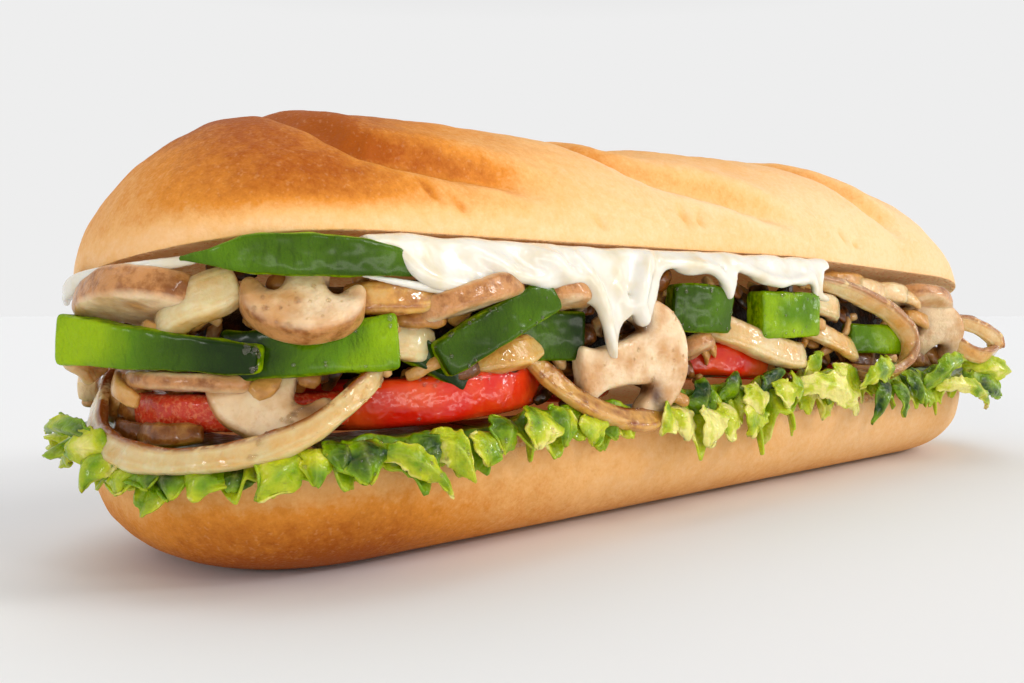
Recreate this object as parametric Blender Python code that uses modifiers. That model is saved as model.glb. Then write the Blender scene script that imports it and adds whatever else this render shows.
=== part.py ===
"""A loaded submarine sandwich: a long roll in two halves, with lettuce, tomato, green pepper, mushroom,
onion and melted cheese between them. The roll lies along X with its open front at -Y, and +Z is up.
Sizes are in metres.

Places on the filling are given as (s, z, out): s runs along the outline of the roll from the middle of the
front, positive to the right as seen from outside, z is the height, and out is how far the place stands
outside it.
"""

import math
from collections import namedtuple

import bmesh
import bpy
from mathutils import Matrix, Vector, noise

MM = 0.001

# The roll
HALF_LENGTH = 142.5 * MM
HALF_WIDTH = 38.0 * MM
CORNER = 34.0 * MM
TOP_HALF_LENGTH = 145.0 * MM
TOP_SHIFT = -2.0 * MM
TOP_HEIGHT = 34.7 * MM
TOP_LEFT_END = 42.0 * MM
TOP_RIGHT_END = 54.0 * MM
TOP_CUT_Z = 63.0 * MM
TOP_TILT = math.radians(8)
TOP_END_DROP = 0.085
TOP_RIGHT_DROP = 0.42
TOP_SAG = 2.6 * MM
DROOP_START = 20.0 * MM
DROOP_SLOPE = 0.045
TAPER_START = 0.7
EDGE_FADE = 6.0 * MM
CRUST_RIPPLE = 0.8 * MM
SIDE_RIPPLE = 0.02
BOTTOM_CUT_Z = 24.0 * MM
BOTTOM_HALF_LENGTH = 144.0 * MM
BOTTOM_END = 42.0 * MM
BOTTOM_DEPTH = 25.5 * MM
END_POWER = 2.3
DOME_POWER = 1.86
SOLE_POWER = 2.9

# Soft swells and dips of the crust along the crown: place along the roll, spread and height in mm
SWELLS = ((-107, 12, -1.6), (-24, 11, -2.0), (66, 46, 5.4))

# The slashes on the crust, each a line of places: along the roll in mm, and degrees up from the front edge
SLASHES = (
    ((-121, 100), (-114, 78), (-109, 55), (-103, 37), (-88, 30), (-74, 26.5), (-62, 19.5)),
    ((-49, 98), (-42, 74), (-35, 52), (-21, 38), (-4, 31), (13, 23), (29, 15.5)),
    ((36, 98), (46, 78), (57, 60), (68, 43), (77, 31), (85, 24)),
)
SLASH_STEPS = 15
SLASH_DEPTH = 3.2 * MM
SLASH_WIDTH = 3.6 * MM
SLASH_LIP = 1.2 * MM

# The room kept between two pieces that touch
GAP = 0.4 * MM
FLAT_ANGLE = math.radians(3)
SHARP_ANGLE = math.radians(50)
PEPPER_EDGE = 0.8 * MM
ONION_EDGE = 0.7 * MM
TOMATO_EDGE = 1.4 * MM
LONG_STRIP = 22.0 * MM

COLOURS = {
    "crust": ((0.72, 0.40, 0.14), 0.62),
    "lettuce": ((0.30, 0.52, 0.05), 0.40),
    "tomato": ((0.72, 0.06, 0.02), 0.25),
    "pepper": ((0.05, 0.27, 0.02), 0.22),
    "mushroom": ((0.55, 0.40, 0.27), 0.45),
    "onion": ((0.74, 0.55, 0.28), 0.30),
    "cheese": ((0.88, 0.83, 0.66), 0.30),
    "saute": ((0.20, 0.12, 0.05), 0.40),
}

Strip = namedtuple("Strip", "name at turn size bow arch taper")
Slice = namedtuple("Slice", "name at turn width cap stem thick")
Band = namedtuple("Band", "name route width thick lean")
Round = namedtuple("Round", "name s z tilt radius thick inset")
Leaf = namedtuple("Leaf", "name start end reach low high waves seed")

# Green pepper: (s, z, out) in mm, (roll, yaw, pitch) in degrees, (length, height, thickness) in mm
PEPPERS = (
    Strip("pepper_strip_top_left", (-119.5, 57.2, -3.4), (-1, 2, 4), (40, 4.8, 4.5), 5.4, 2.9, 0.75),
    Strip("pepper_strip_left", (-146, 42.4, 1.0), (-5, 13, 0), (35, 8.8, 4.6), 1.4, 0, 0.55),
    Strip("pepper_strip_inner_left", (-119.5, 42.2, -3.2), (5, -14, -8), (27, 8.8, 4.8), 2.0, -0.8, 1.1),
    Strip("pepper_strip_centre", (-82.5, 46.0, 1.2), (27, -6, -6), (27, 7.2, 4.2), 0.6, 0.4, 1.0),
    Strip("pepper_bit_low", (-94, 39.0, -3.0), (-30, -4, 0), (13, 5.5, 4.0), 0.3, 0, 0.9),
    Strip("pepper_block_centre", (-67, 43.8, -3.0), (-2, -10, 4), (16, 10.4, 5.0), 0.4, 0, 1.0),
    Strip("pepper_block_cheese", (-20.5, 49.0, -0.6), (-3, -6, 4), (16.5, 11.0, 5.2), 1.2, 0.8, 0.95),
    Strip("pepper_block_bright", (12.5, 47.6, 1.0), (1, -4, 0), (21, 12.5, 6.0), 0.3, 0, 0.92),
    Strip("pepper_block_right", (61, 40.3, -1.5), (-2, -14, 0), (19, 8.6, 5.0), 0.4, 0, 1.0),
    Strip("pepper_strip_back_left", (-262, 44.0, 0.5), (6, 0, 0), (40, 8.0, 4.6), 1.2, 0.5, 0.8),
    Strip("pepper_strip_back_middle", (308, 42.6, 1.2), (-9, 0, 0), (38, 8.0, 4.4), 1.0, 0, 0.8),
    Strip("pepper_block_back_right", (228, 43.2, 0.0), (8, 0, 0), (20, 9.5, 5.0), 0.8, 0, 1.0),
)

# Mushroom slices: the cap's width and height, the stem's width and length, and the thickness in mm
MUSHROOMS = (
    Slice("mushroom_left_end", (-152, 50.2, -0.6), (8, 6, 66), 27, 12, (9, 7), 6.0),
    Slice("mushroom_upper", (-121.5, 49.6, 0.5), (176, -4, 40), 21, 9.5, (8, 4), 5.8),
    Slice("mushroom_under_cheese", (-89, 50.8, -1.0), (15, -4, 76), 28, 12, (8, 5), 5.0),
    Slice("mushroom_small_centre", (-64.5, 51.6, -0.5), (-2, 0, 70), 16, 9, (6, 4), 4.8),
    Slice("mushroom_lower_left", (-128, 33.6, -3.4), (158, -10, 28), 23, 10, (8, 5), 4.6),
    Slice("mushroom_thin_left", (-144, 36.6, -3.6), (-1, 4, 84), 26, 11, (7, 4), 3.2),
    Slice("mushroom_large_centre", (-45, 38.0, 1.8), (-80, -12, -6), 26, 14.0, (11, 16), 4.8),
    Slice("mushroom_curl", (-20.0, 40.2, -2.0), (14, -8, 60), 11, 6, (5, 3), 4.2),
    Slice("mushroom_right_end", (95, 42.6, 0.4), (-40, -14, 22), 24, 12, (8, 6), 5.0),
    Slice("mushroom_upper_right", (88, 51.0, -0.5), (-12, -10, 62), 26, 11, (8, 5), 4.6),
    Slice("mushroom_bit_left_end", (-182, 35.4, 1.6), (60, 0, 0), 12, 6, (5, 3), 4.0),
    Slice("mushroom_back_left", (-300, 43.8, 0.5), (12, 0, 12), 24, 12, (8, 6), 5.0),
    Slice("mushroom_back_right", (268, 43.6, 0.4), (-164, 0, -10), 24, 12, (8, 6), 5.0),
)

# Onion: a route of (s, z, out) in mm, the band's width and thickness, and how far its width leans outwards
ONIONS = (
    Band("onion_ring_left", ((-177, 38.4, -5), (-170, 33.2, 0), (-158, 27.2, 4.2), (-142, 24.3, 6.0),
                             (-125, 27.4, 5.4), (-112.5, 35.4, 2.4), (-106, 41, -2)), 4.8, 2.6, -32),
    Band("onion_left_end", ((-166, 49.5, -1), (-170, 45.2, 2.6), (-171, 40.6, 3.4), (-170, 36.8, 1)),
         7.0, 2.8, 50),
    Band("onion_chunk_left", ((-147, 45.4, -1.0), (-140, 50, 0.6), (-133, 53.2, -1)), 8.0, 5.0, -20),
    Band("onion_golden_top", ((-113, 51.0, -2), (-104, 51.2, 1.4), (-95, 52.4, 1.0)), 5.8, 4.0, -10),
    Band("onion_clear_middle", ((-110, 43.4, -5), (-103, 43.2, -2.4), (-95, 42.6, -3.6)), 7.4, 4.0, -6),
    Band("onion_yellow_centre", ((-84, 38.6, -4), (-77, 40.2, -0.8), (-70, 41.4, -2.4)), 6.4, 4.2, -28),
    Band("onion_arc_centre", ((-70, 38.4, -3), (-65, 32.6, 1.6), (-57, 27.8, 4), (-47, 25.2, 4.6),
                              (-38, 25.8, 3.4), (-32, 28.8, -3)), 5.2, 2.8, -35),
    Band("onion_strip_right", ((-14, 46.6, -6), (-6, 43, -0.6), (6, 38.9, 1.6), (17, 36.8, 1.8),
                               (24, 37.4, -2.5)), 7.0, 4.2, -14),
    Band("onion_loop_right", ((27, 57.6, -4), (40, 55.4, 0), (53, 51.2, 2.6), (64.5, 46, 4.4),
                              (70.5, 39.2, 5.4), (67, 32.4, 4.8), (57, 30.2, 3.2), (48, 31.8, -3)),
         5.6, 2.8, 52),
    Band("onion_inner_right", ((24, 45.8, -4), (34, 41.6, 0.4), (44, 38.0, 1.0), (53, 35.6, -3)),
         6.0, 3.0, -24),
    Band("onion_loop_right_end", ((98, 45.5, 1), (107, 44.2, 6.4), (115.5, 39.6, 10.4), (116, 35.4, 10.4),
                                  (109, 34.4, 8), (101, 39, 3)), 5.4, 2.4, 30),
    Band("onion_bit_right", ((30, 51.2, -2.4), (36, 50.0, -0.4), (42, 48.2, -3)), 6.4, 4.0, 0),
    Band("onion_back_left", ((-246, 42, -4), (-237, 39.6, 1.8), (-224, 40.6, 3.4), (-210, 38.4, 1.4),
                             (-200, 41, -5)), 6.0, 3.0, -24),
    Band("onion_back_middle", ((-331, 43.4, -5), (-324, 39.6, 1.8), (-308, 37.4, 2.6), (-290, 38.4, 1.6),
                               (-280, 41.6, -5)), 5.6, 3.0, -28),
    Band("onion_back_right", ((240, 44.4, -5), (250, 39.2, 1.8), (266, 36.8, 2.6), (282, 38.2, 1.8),
                              (292, 43, -5)), 5.6, 3.0, -28),
    Band("onion_right_corner", ((176, 45, -5), (186, 42.5, 1.4), (200, 41, 2.2), (212, 43.6, -4)),
         7.0, 3.2, -10),
)

# Tomato: where its rim shows, its height, the tilt along the roll in degrees, and radius, thickness and
# inset in mm
TOMATOES = (
    Round("tomato_middle", -85, 32.6, 3.4, 33, 9.0, -0.6),
    Round("tomato_left", -150, 31.0, 0.0, 23, 6.4, 2.5),
    Round("tomato_right", 2, 36.0, -4.0, 30, 8.4, 0.6),
    Round("tomato_back_left", -286, 31.6, 1.0, 30, 8.0, 0.0),
    Round("tomato_back_right", 262, 31.6, -1.0, 31, 8.0, 0.0),
)

# Lettuce: from where to where along the outline, the frill's reach outwards, its lower edge and its crest
# in mm, and its waves and seed
LEAVES = (
    Leaf("lettuce_left_end", -204, -160, 9.0, 22.0, 27.0, 3.6, 1),
    Leaf("lettuce_left", -161, -121, 6.0, 17.2, 25.6, 3.6, 2),
    Leaf("lettuce_front_left", -120, -83, 6.0, 18.4, 27.0, 3.0, 3),
    Leaf("lettuce_front_centre", -82, -44, 5.6, 21.0, 30.4, 3.0, 4),
    Leaf("lettuce_front_right", -36, 14, 6.4, 18.2, 32.0, 4.2, 5),
    Leaf("lettuce_right", 15, 52, 5.6, 22.4, 34.0, 3.0, 6),
    Leaf("lettuce_right_end", 53, 106, 6.0, 19.6, 31.6, 4.2, 7),
    Leaf("lettuce_far_end", 108, 172, 9.0, 22.0, 31.0, 5.0, 8),
    Leaf("lettuce_back_right", 196, 258, 6.0, 20.0, 29.0, 5.0, 9),
    Leaf("lettuce_back_left", -322, -236, 6.0, 20.0, 29.0, 6.4, 10),
)
LEAF_BED_Z = BOTTOM_CUT_Z + 1.4 * MM
LEAF_DEPTH = 18.0 * MM
LEAF_THICK = 0.8 * MM
LEAF_RUFFLE = 2.6 * MM
LEAF_COLUMN = 4.2
LEAF_LIP = 1.6
LEAF_RISE = 0.3
LEAF_CREST = 0.7

# Cheese: how far it hangs below the roll's cut, as a middle, half width and length in mm along the outline
CHEESE_SPAN = (-112.0, 30.0)
CHEESE_DRIPS = (
    (-97, 8.5, 9.8), (-84, 12, 8.4), (-70, 12, 9.0), (-60, 6, 12.0), (-53.5, 3.4, 23.5),
    (-44, 6.5, 16.4), (-27, 10, 5.2), (-14, 2.8, 10.5), (2, 10, 7.2), (16, 9, 7.0), (24, 3, 10.5),
)
CHEESE_EDGE = 2.2
CHEESE_THICK = 2.2 * MM
CHEESE_DEPTH = 16.0 * MM
CHEESE_OUT = 3.4
CHEESE_LID = 1.9
CHEESE_FOLD = 0.4
CHEESE_COLUMNS = 56
CHEESE_ROWS = 5

CORE_SIZE = Vector((133, 29, 13.2)) * MM
CORE_Z = 41.6 * MM
CORE_BLUNTNESS = 0.52
CORE_LUMP = 0.12


def clear_scene():
    for obj in list(bpy.data.objects):
        bpy.data.objects.remove(obj, do_unlink=True)


def material_named(kind):
    """One material for each kind of food."""
    found = bpy.data.materials.get(kind)
    if found:
        return found
    colour, roughness = COLOURS[kind]
    made = bpy.data.materials.new(kind)
    made.use_nodes = True
    shader = made.node_tree.nodes["Principled BSDF"]
    shader.inputs["Base Color"].default_value = (*colour, 1)
    shader.inputs["Roughness"].default_value = roughness
    return made


def object_of(name, mesh, kind, collection):
    obj = bpy.data.objects.new(name, mesh)
    obj.data.materials.append(material_named(kind))
    collection.objects.link(obj)
    return obj


def face_outwards(bm):
    bm.normal_update()
    bmesh.ops.recalc_face_normals(bm, faces=bm.faces)


def object_from(name, bm, kind, collection):
    mesh = bpy.data.meshes.new(name)
    bm.to_mesh(mesh)
    bm.free()
    return object_of(name, mesh, kind, collection)


def outline(s):
    """Point, tangent and outward normal on the roll's outline, s metres from the middle of the front."""
    side = 1 if s >= 0 else -1
    along = abs(s)
    straight = HALF_LENGTH - CORNER
    flat_end = 2 * (HALF_WIDTH - CORNER)
    quarter = math.pi / 2 * CORNER
    if along <= straight:
        angle, x, y = 0.0, along, -HALF_WIDTH
    elif along <= straight + quarter:
        angle = (along - straight) / CORNER
        x = straight + CORNER * math.sin(angle)
        y = -flat_end / 2 - CORNER * math.cos(angle)
    elif along <= straight + quarter + flat_end:
        angle, x, y = math.pi / 2, HALF_LENGTH, along - straight - quarter - flat_end / 2
    elif along <= straight + 2 * quarter + flat_end:
        angle = (along - straight - flat_end) / CORNER
        x = straight + CORNER * math.sin(angle)
        y = flat_end / 2 - CORNER * math.cos(angle)
    else:
        angle, x, y = math.pi, 2 * (straight + quarter) + flat_end - along, HALF_WIDTH
    normal = Vector((side * math.sin(angle), -math.cos(angle), 0))
    tangent = Vector((math.cos(angle), side * math.sin(angle), 0))
    return Vector((side * x, y, 0)), tangent, normal


def spot(s, z, out):
    """The place that (s, z, out) in mm means."""
    point, _, normal = outline(s * MM)
    return point + normal * out * MM + Vector((0, 0, z * MM))


def stand(obj, at, turn):
    """Puts a piece at (s, z, out), turned by (roll, yaw, pitch) degrees as seen from outside."""
    _, tangent, normal = outline(at[0] * MM)
    basis = Matrix((tangent, -normal, Vector((0, 0, 1)))).transposed().to_4x4()
    roll, yaw, pitch = (math.radians(angle) for angle in turn)
    spin = Matrix.Rotation(yaw, 4, "Z") @ Matrix.Rotation(-roll, 4, "Y") @ Matrix.Rotation(pitch, 4, "X")
    obj.matrix_world = Matrix.Translation(spot(*at)) @ basis @ spin


def settle(obj):
    """Makes the evaluated shape the object's own mesh, in world coordinates."""
    bpy.context.view_layer.update()
    evaluated = obj.evaluated_get(bpy.context.evaluated_depsgraph_get())
    mesh = bpy.data.meshes.new_from_object(evaluated)
    mesh.transform(obj.matrix_world)
    obj.modifiers.clear()
    obj.data = mesh
    obj.matrix_world = Matrix.Identity(4)
    reshape(obj, lambda bm: bmesh.ops.triangulate(bm, faces=bm.faces))


def reshape(obj, change):
    bm = bmesh.new()
    bm.from_mesh(obj.data)
    change(bm)
    bm.to_mesh(obj.data)
    bm.free()


def box_of(obj):
    corners = [v.co for v in obj.data.vertices]
    low = Vector(min(c[i] for c in corners) for i in range(3))
    high = Vector(max(c[i] for c in corners) for i in range(3))
    return low, high


def boxes_meet(one, other):
    (low, high), (other_low, other_high) = box_of(one), box_of(other)
    return all(low[i] < other_high[i] + GAP and other_low[i] < high[i] + GAP for i in range(3))


def keep_largest(bm):
    """Drops the loose scraps that a cut leaves."""
    unseen = set(bm.verts)
    islands = []
    while unseen:
        island, front = set(), [unseen.pop()]
        while front:
            vert = front.pop()
            island.add(vert)
            for edge in vert.link_edges:
                other = edge.other_vert(vert)
                if other in unseen:
                    unseen.remove(other)
                    front.append(other)
        islands.append(island)
    islands.sort(key=len)
    for island in islands[:-1]:
        bmesh.ops.delete(bm, geom=list(island), context="VERTS")


def merge_flat(bm):
    """Joins faces that lie nearly in one plane, so that cuts leave no needless triangles."""
    bmesh.ops.dissolve_limit(bm, angle_limit=FLAT_ANGLE, verts=bm.verts, edges=bm.edges)
    bmesh.ops.triangulate(bm, faces=bm.faces)


def carve(piece, blockers):
    """Cuts from a piece the room that earlier pieces take, and a hair's gap round each."""
    for blocker in blockers:
        if not boxes_meet(piece, blocker):
            continue
        swollen = blocker.copy()
        swollen.data = blocker.data.copy()
        bpy.context.scene.collection.objects.link(swollen)
        swell = swollen.modifiers.new("swell", "DISPLACE")
        swell.mid_level = 0
        swell.strength = GAP
        cut = piece.modifiers.new("cut", "BOOLEAN")
        cut.operation = "DIFFERENCE"
        cut.use_self = True
        cut.object = swollen
        settle(piece)
        bpy.data.objects.remove(swollen, do_unlink=True)
    reshape(piece, keep_largest)
    reshape(piece, merge_flat)


def smooth_route(places, count):
    """Points at even steps of a smooth curve through the places."""
    points = [Vector(place) for place in places]
    points = [points[0] * 2 - points[1]] + points + [points[-1] * 2 - points[-2]]
    route = []
    for i in range(count):
        along = i / (count - 1) * (len(places) - 1)
        k = min(int(along), len(places) - 2)
        t = along - k
        a, b, c, d = points[k : k + 4]
        bend, twist = 2 * a - 5 * b + 4 * c - d, 3 * b - a - 3 * c + d
        route.append(0.5 * (2 * b + (c - a) * t + bend * t * t + twist * t**3))
    return route


def slash_relief(x, climb):
    """How far the slashes move the crust out or in, at x and an angle up from the front edge."""
    height = 0.0
    arc = climb * HALF_WIDTH
    for slash in SLASHES:
        line = [(at * MM, math.radians(up) * HALF_WIDTH) for at, up in smooth_route(slash, SLASH_STEPS)]
        best, across, share = 1.0, 0.0, 0.0
        for i in range(len(line) - 1):
            (x0, a0), (x1, a1) = line[i], line[i + 1]
            dx, da = x1 - x0, a1 - a0
            step = max(0.0, min(1.0, ((x - x0) * dx + (arc - a0) * da) / (dx * dx + da * da)))
            away = math.hypot(x - x0 - dx * step, arc - a0 - da * step)
            if away < best:
                best = away
                across = (dx * (arc - a0) - da * (x - x0)) / math.hypot(dx, da)
                share = (i + step) / (len(line) - 1)
        fade = min(1.0, 3.0 * share + 0.1, 5.0 * (1 - share))
        side = math.copysign(best, across)
        height -= SLASH_DEPTH * fade * math.exp(-((best / SLASH_WIDTH) ** 2))
        height += SLASH_LIP * fade * math.exp(-(((side - 2.0 * SLASH_WIDTH) / (1.5 * SLASH_WIDTH)) ** 2))
    return height


def half_roll(name, rings, arcs, flats, shape, collection):
    """A sphere with its poles at the roll's ends, whose rings become half-round sections. shape gives a
    ring's point from its place along the roll, from -1 to 1, and its angle, negative over the flat."""
    bm = bmesh.new()
    around = arcs + flats
    bmesh.ops.create_uvsphere(bm, u_segments=around, v_segments=rings, radius=1)
    for vert in bm.verts:
        polar = math.acos(max(-1.0, min(1.0, vert.co.z)))
        even = 1 - 2 * polar / math.pi
        place = 0.5 * even + 0.5 * math.sin(math.pi / 2 * even)
        turn = round((math.atan2(vert.co.y, vert.co.x) % math.tau) / math.tau * around)
        if turn <= arcs:
            angle = math.pi * turn / arcs
        else:
            angle = -math.pi * (1 - (turn - arcs) / flats)
        vert.co = shape(place, angle)
    face_outwards(bm)
    return object_from(name, bm, "crust", collection)


def end_share(place, half_length, end):
    """How far into the rounded end a place is, from 0 to 1."""
    return max(0.0, abs(place) * half_length - (half_length - end)) / end


def tapering(place):
    """0 along the roll's middle, growing to 1 at its end."""
    return (max(0.0, place - TAPER_START) / (1 - TAPER_START)) ** 2


def top_point(place, angle):
    """The top half in its own frame: the cut face at z 0, and the slashed dome above it."""
    share = end_share(place, TOP_HALF_LENGTH, TOP_LEFT_END if place < 0 else TOP_RIGHT_END)
    half = HALF_WIDTH * max(0.0, 1 - share**END_POWER) ** (1 / END_POWER)
    x, y = place * TOP_HALF_LENGTH, -half * math.cos(angle)
    sag = -TOP_SAG * tapering(abs(place)) - DROOP_SLOPE * max(0.0, x - DROOP_START)
    if angle < 0:
        return Vector((x, y, sag))
    off = (share**END_POWER + (abs(y) / HALF_WIDTH) ** END_POWER) ** (1 / END_POWER)
    z = TOP_HEIGHT * max(0.0, 1 - min(1.0, off) ** DOME_POWER) ** (1 / DOME_POWER)
    z *= 1 - TOP_END_DROP * abs(place) - TOP_RIGHT_DROP * tapering(place)
    point = Vector((x, y, z + sag))
    relief = slash_relief(x, angle) + CRUST_RIPPLE * noise.noise(Vector((x * 22, y * 40, z * 40)))
    for at, spread, height in SWELLS:
        relief += height * MM * math.exp(-(((x / MM - at) / spread) ** 2)) * z / TOP_HEIGHT
    away = Vector((0.3 * x / TOP_HALF_LENGTH, y / HALF_WIDTH, 0.35 + z / TOP_HEIGHT)).normalized()
    return point + away * relief * min(1.0, z / EDGE_FADE)


def bottom_point(place, angle):
    """The bottom half: the cut face on top, round sides, and a flat sole at z 0."""
    share = end_share(place, BOTTOM_HALF_LENGTH, BOTTOM_END)
    half = HALF_WIDTH * max(0.0, 1 - share**END_POWER) ** (1 / END_POWER)
    x, y = place * BOTTOM_HALF_LENGTH, half * math.cos(angle)
    if angle < 0:
        return Vector((x, y, BOTTOM_CUT_Z))
    off = (share**END_POWER + (abs(y) / HALF_WIDTH) ** END_POWER) ** (1 / END_POWER)
    drop = BOTTOM_DEPTH * max(0.0, 1 - min(1.0, off) ** SOLE_POWER) ** (1 / SOLE_POWER)
    y *= 1 + SIDE_RIPPLE * noise.noise(Vector((x * 30, y * 9, 4))) * min(1.0, drop / EDGE_FADE)
    return Vector((x, y, max(0.0, BOTTOM_CUT_Z - drop)))


def bread(collection):
    top = half_roll("bread_top", 46, 22, 4, top_point, collection)
    lift = Matrix.Translation((TOP_SHIFT, -HALF_WIDTH, TOP_CUT_Z))
    top.matrix_world = lift @ Matrix.Rotation(-TOP_TILT, 4, "X") @ Matrix.Translation((0, HALF_WIDTH, 0))
    bottom = half_roll("bread_bottom", 24, 14, 2, bottom_point, collection)
    for half in (top, bottom):
        half.data.shade_smooth()
        half.data.set_sharp_from_angle(angle=SHARP_ANGLE)
    return [top, bottom]


def core(collection):
    """The heap of sauteed trimmings that the shown pieces lean on."""
    bm = bmesh.new()
    lying = Matrix.Rotation(math.pi / 2, 4, "Y")
    bmesh.ops.create_uvsphere(bm, u_segments=20, v_segments=8, radius=1, matrix=lying)
    for vert in bm.verts:
        blunt = Vector(math.copysign(abs(c) ** CORE_BLUNTNESS, c) for c in vert.co)
        lump = 1 + CORE_LUMP * noise.noise(vert.co * 5)
        vert.co = Vector(blunt[i] * CORE_SIZE[i] * lump for i in range(3))
        if vert.co.z > 0:
            vert.co.z *= 1 - DROOP_SLOPE * max(0.0, vert.co.x - DROOP_START) / CORE_SIZE.z
    face_outwards(bm)
    obj = object_from("saute_heap", bm, "saute", collection)
    obj.matrix_world = Matrix.Translation((0, 0, CORE_Z)) @ Matrix.Rotation(-TOP_TILT / 2, 4, "X")
    return obj


def subdivided_bar(cuts):
    """A unit cube cut across X into equal lengths."""
    bm = bmesh.new()
    bmesh.ops.create_cube(bm, size=1)
    along = [e for e in bm.edges if abs(e.verts[0].co.x - e.verts[1].co.x) > 0.5]
    bmesh.ops.subdivide_edges(bm, edges=along, cuts=cuts, use_grid_fill=True)
    return bm


def add_bevel(obj, width):
    bevel = obj.modifiers.new("rounded", "BEVEL")
    bevel.width = width
    bevel.segments = 1
    bevel.limit_method = "ANGLE"
    bevel.angle_limit = SHARP_ANGLE


def pepper(strip, collection):
    """A strip of pepper wall: its skin side bows outwards, its top can arch, and it can narrow."""
    length, height, thick = (value * MM for value in strip.size)
    bm = subdivided_bar(5 if length > LONG_STRIP else 3)
    for vert in bm.verts:
        u = 2 * vert.co.x
        narrow = 1 - (1 - strip.taper) * (u + 1) / 2
        vert.co.x *= length
        vert.co.y = vert.co.y * thick - strip.bow * MM * (1 - u * u)
        vert.co.z = vert.co.z * height * narrow + strip.arch * MM * (1 - u * u) * (vert.co.z + 0.5)
    face_outwards(bm)
    obj = object_from(strip.name, bm, "pepper", collection)
    add_bevel(obj, PEPPER_EDGE)
    stand(obj, strip.at, strip.turn)
    return obj


def mushroom_outline(piece):
    """The outline of a mushroom cut down the middle: the cap's arc, the curled rims and the stem."""
    half, cap = piece.width / 2, piece.cap
    stem_half, stem_length = piece.stem[0] / 2, piece.stem[1]
    points = []
    for i in range(7):
        angle = math.radians(-12 + 204 * i / 6)
        points.append((half * math.cos(angle), cap * (0.15 + 0.85 * math.sin(angle))))
    left = [(-half * 0.80, -cap * 0.16), (-half * 0.55, cap * 0.10), (-stem_half * 1.05, cap * 0.06)]
    left += [(-stem_half * 0.82, -stem_length * 0.6), (-stem_half, -stem_length)]
    right = [(-x, y) for x, y in reversed(left)]
    return points + left + right


def mushroom(piece, collection):
    """A slice: the outline given its thickness, with a chamfer all round."""
    curve = bpy.data.curves.new(piece.name, "CURVE")
    curve.dimensions = "2D"
    curve.fill_mode = "BOTH"
    chamfer = min(0.8, 0.05 * piece.width) * MM
    curve.extrude = piece.thick * MM / 2 - chamfer
    curve.bevel_depth = chamfer
    curve.bevel_resolution = 0
    curve.offset = -chamfer
    shape = mushroom_outline(piece)
    spline = curve.splines.new("POLY")
    spline.points.add(len(shape) - 1)
    for point, (x, y) in zip(spline.points, shape):
        point.co = (x * MM, y * MM, 0, 1)
    spline.use_cyclic_u = True
    drawn = bpy.data.objects.new("outline", curve)
    collection.objects.link(drawn)
    bpy.context.view_layer.update()
    mesh = bpy.data.meshes.new_from_object(drawn.evaluated_get(bpy.context.evaluated_depsgraph_get()))
    bpy.data.objects.remove(drawn, do_unlink=True)
    bm = bmesh.new()
    bm.from_mesh(mesh)
    bmesh.ops.remove_doubles(bm, verts=bm.verts, dist=0.01 * MM)
    middle = (piece.cap - piece.stem[1]) / 2 * MM
    for vert in bm.verts:
        vert.co = Vector((vert.co.x, -vert.co.z, vert.co.y - middle))
    face_outwards(bm)
    obj = object_from(piece.name, bm, "mushroom", collection)
    stand(obj, piece.at, piece.turn)
    return obj


def onion(band, collection):
    """A band of onion that follows its route, its width leaning out from upright."""
    steps = max(4, round(1.4 * len(band.route)))
    route = [spot(*place) for place in smooth_route(band.route, steps)]
    middle_s = band.route[len(band.route) // 2][0]
    _, _, normal = outline(middle_s * MM)
    lean = math.radians(band.lean)
    axis = Vector((0, 0, 1)) * math.cos(lean) + normal * math.sin(lean)
    bm = subdivided_bar(steps - 2)
    for vert in bm.verts:
        k = round((vert.co.x + 0.5) * (steps - 1))
        ahead = (route[min(k + 1, steps - 1)] - route[max(k - 1, 0)]).normalized()
        wide = (axis - ahead * axis.dot(ahead)).normalized()
        inward = wide.cross(ahead)
        vert.co = route[k] + wide * vert.co.z * band.width * MM + inward * vert.co.y * band.thick * MM
    face_outwards(bm)
    obj = object_from(band.name, bm, "onion", collection)
    add_bevel(obj, ONION_EDGE)
    return obj


def tomato(piece, collection):
    """A full round slice, set back so that its rim comes to the outline."""
    bm = bmesh.new()
    radius = piece.radius * MM
    bmesh.ops.create_cone(
        bm, cap_ends=True, segments=22, radius1=radius, radius2=radius, depth=piece.thick * MM
    )
    for vert in bm.verts:
        swell = 1 + 0.03 * math.sin(3 * math.atan2(vert.co.y, vert.co.x) + piece.s)
        vert.co = Vector((vert.co.x * swell, vert.co.y * swell, vert.co.z))
    obj = object_from(piece.name, bm, "tomato", collection)
    add_bevel(obj, TOMATO_EDGE)
    stand(obj, (piece.s, piece.z, -piece.radius - piece.inset), (piece.tilt, 0, 0))
    return obj


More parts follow.
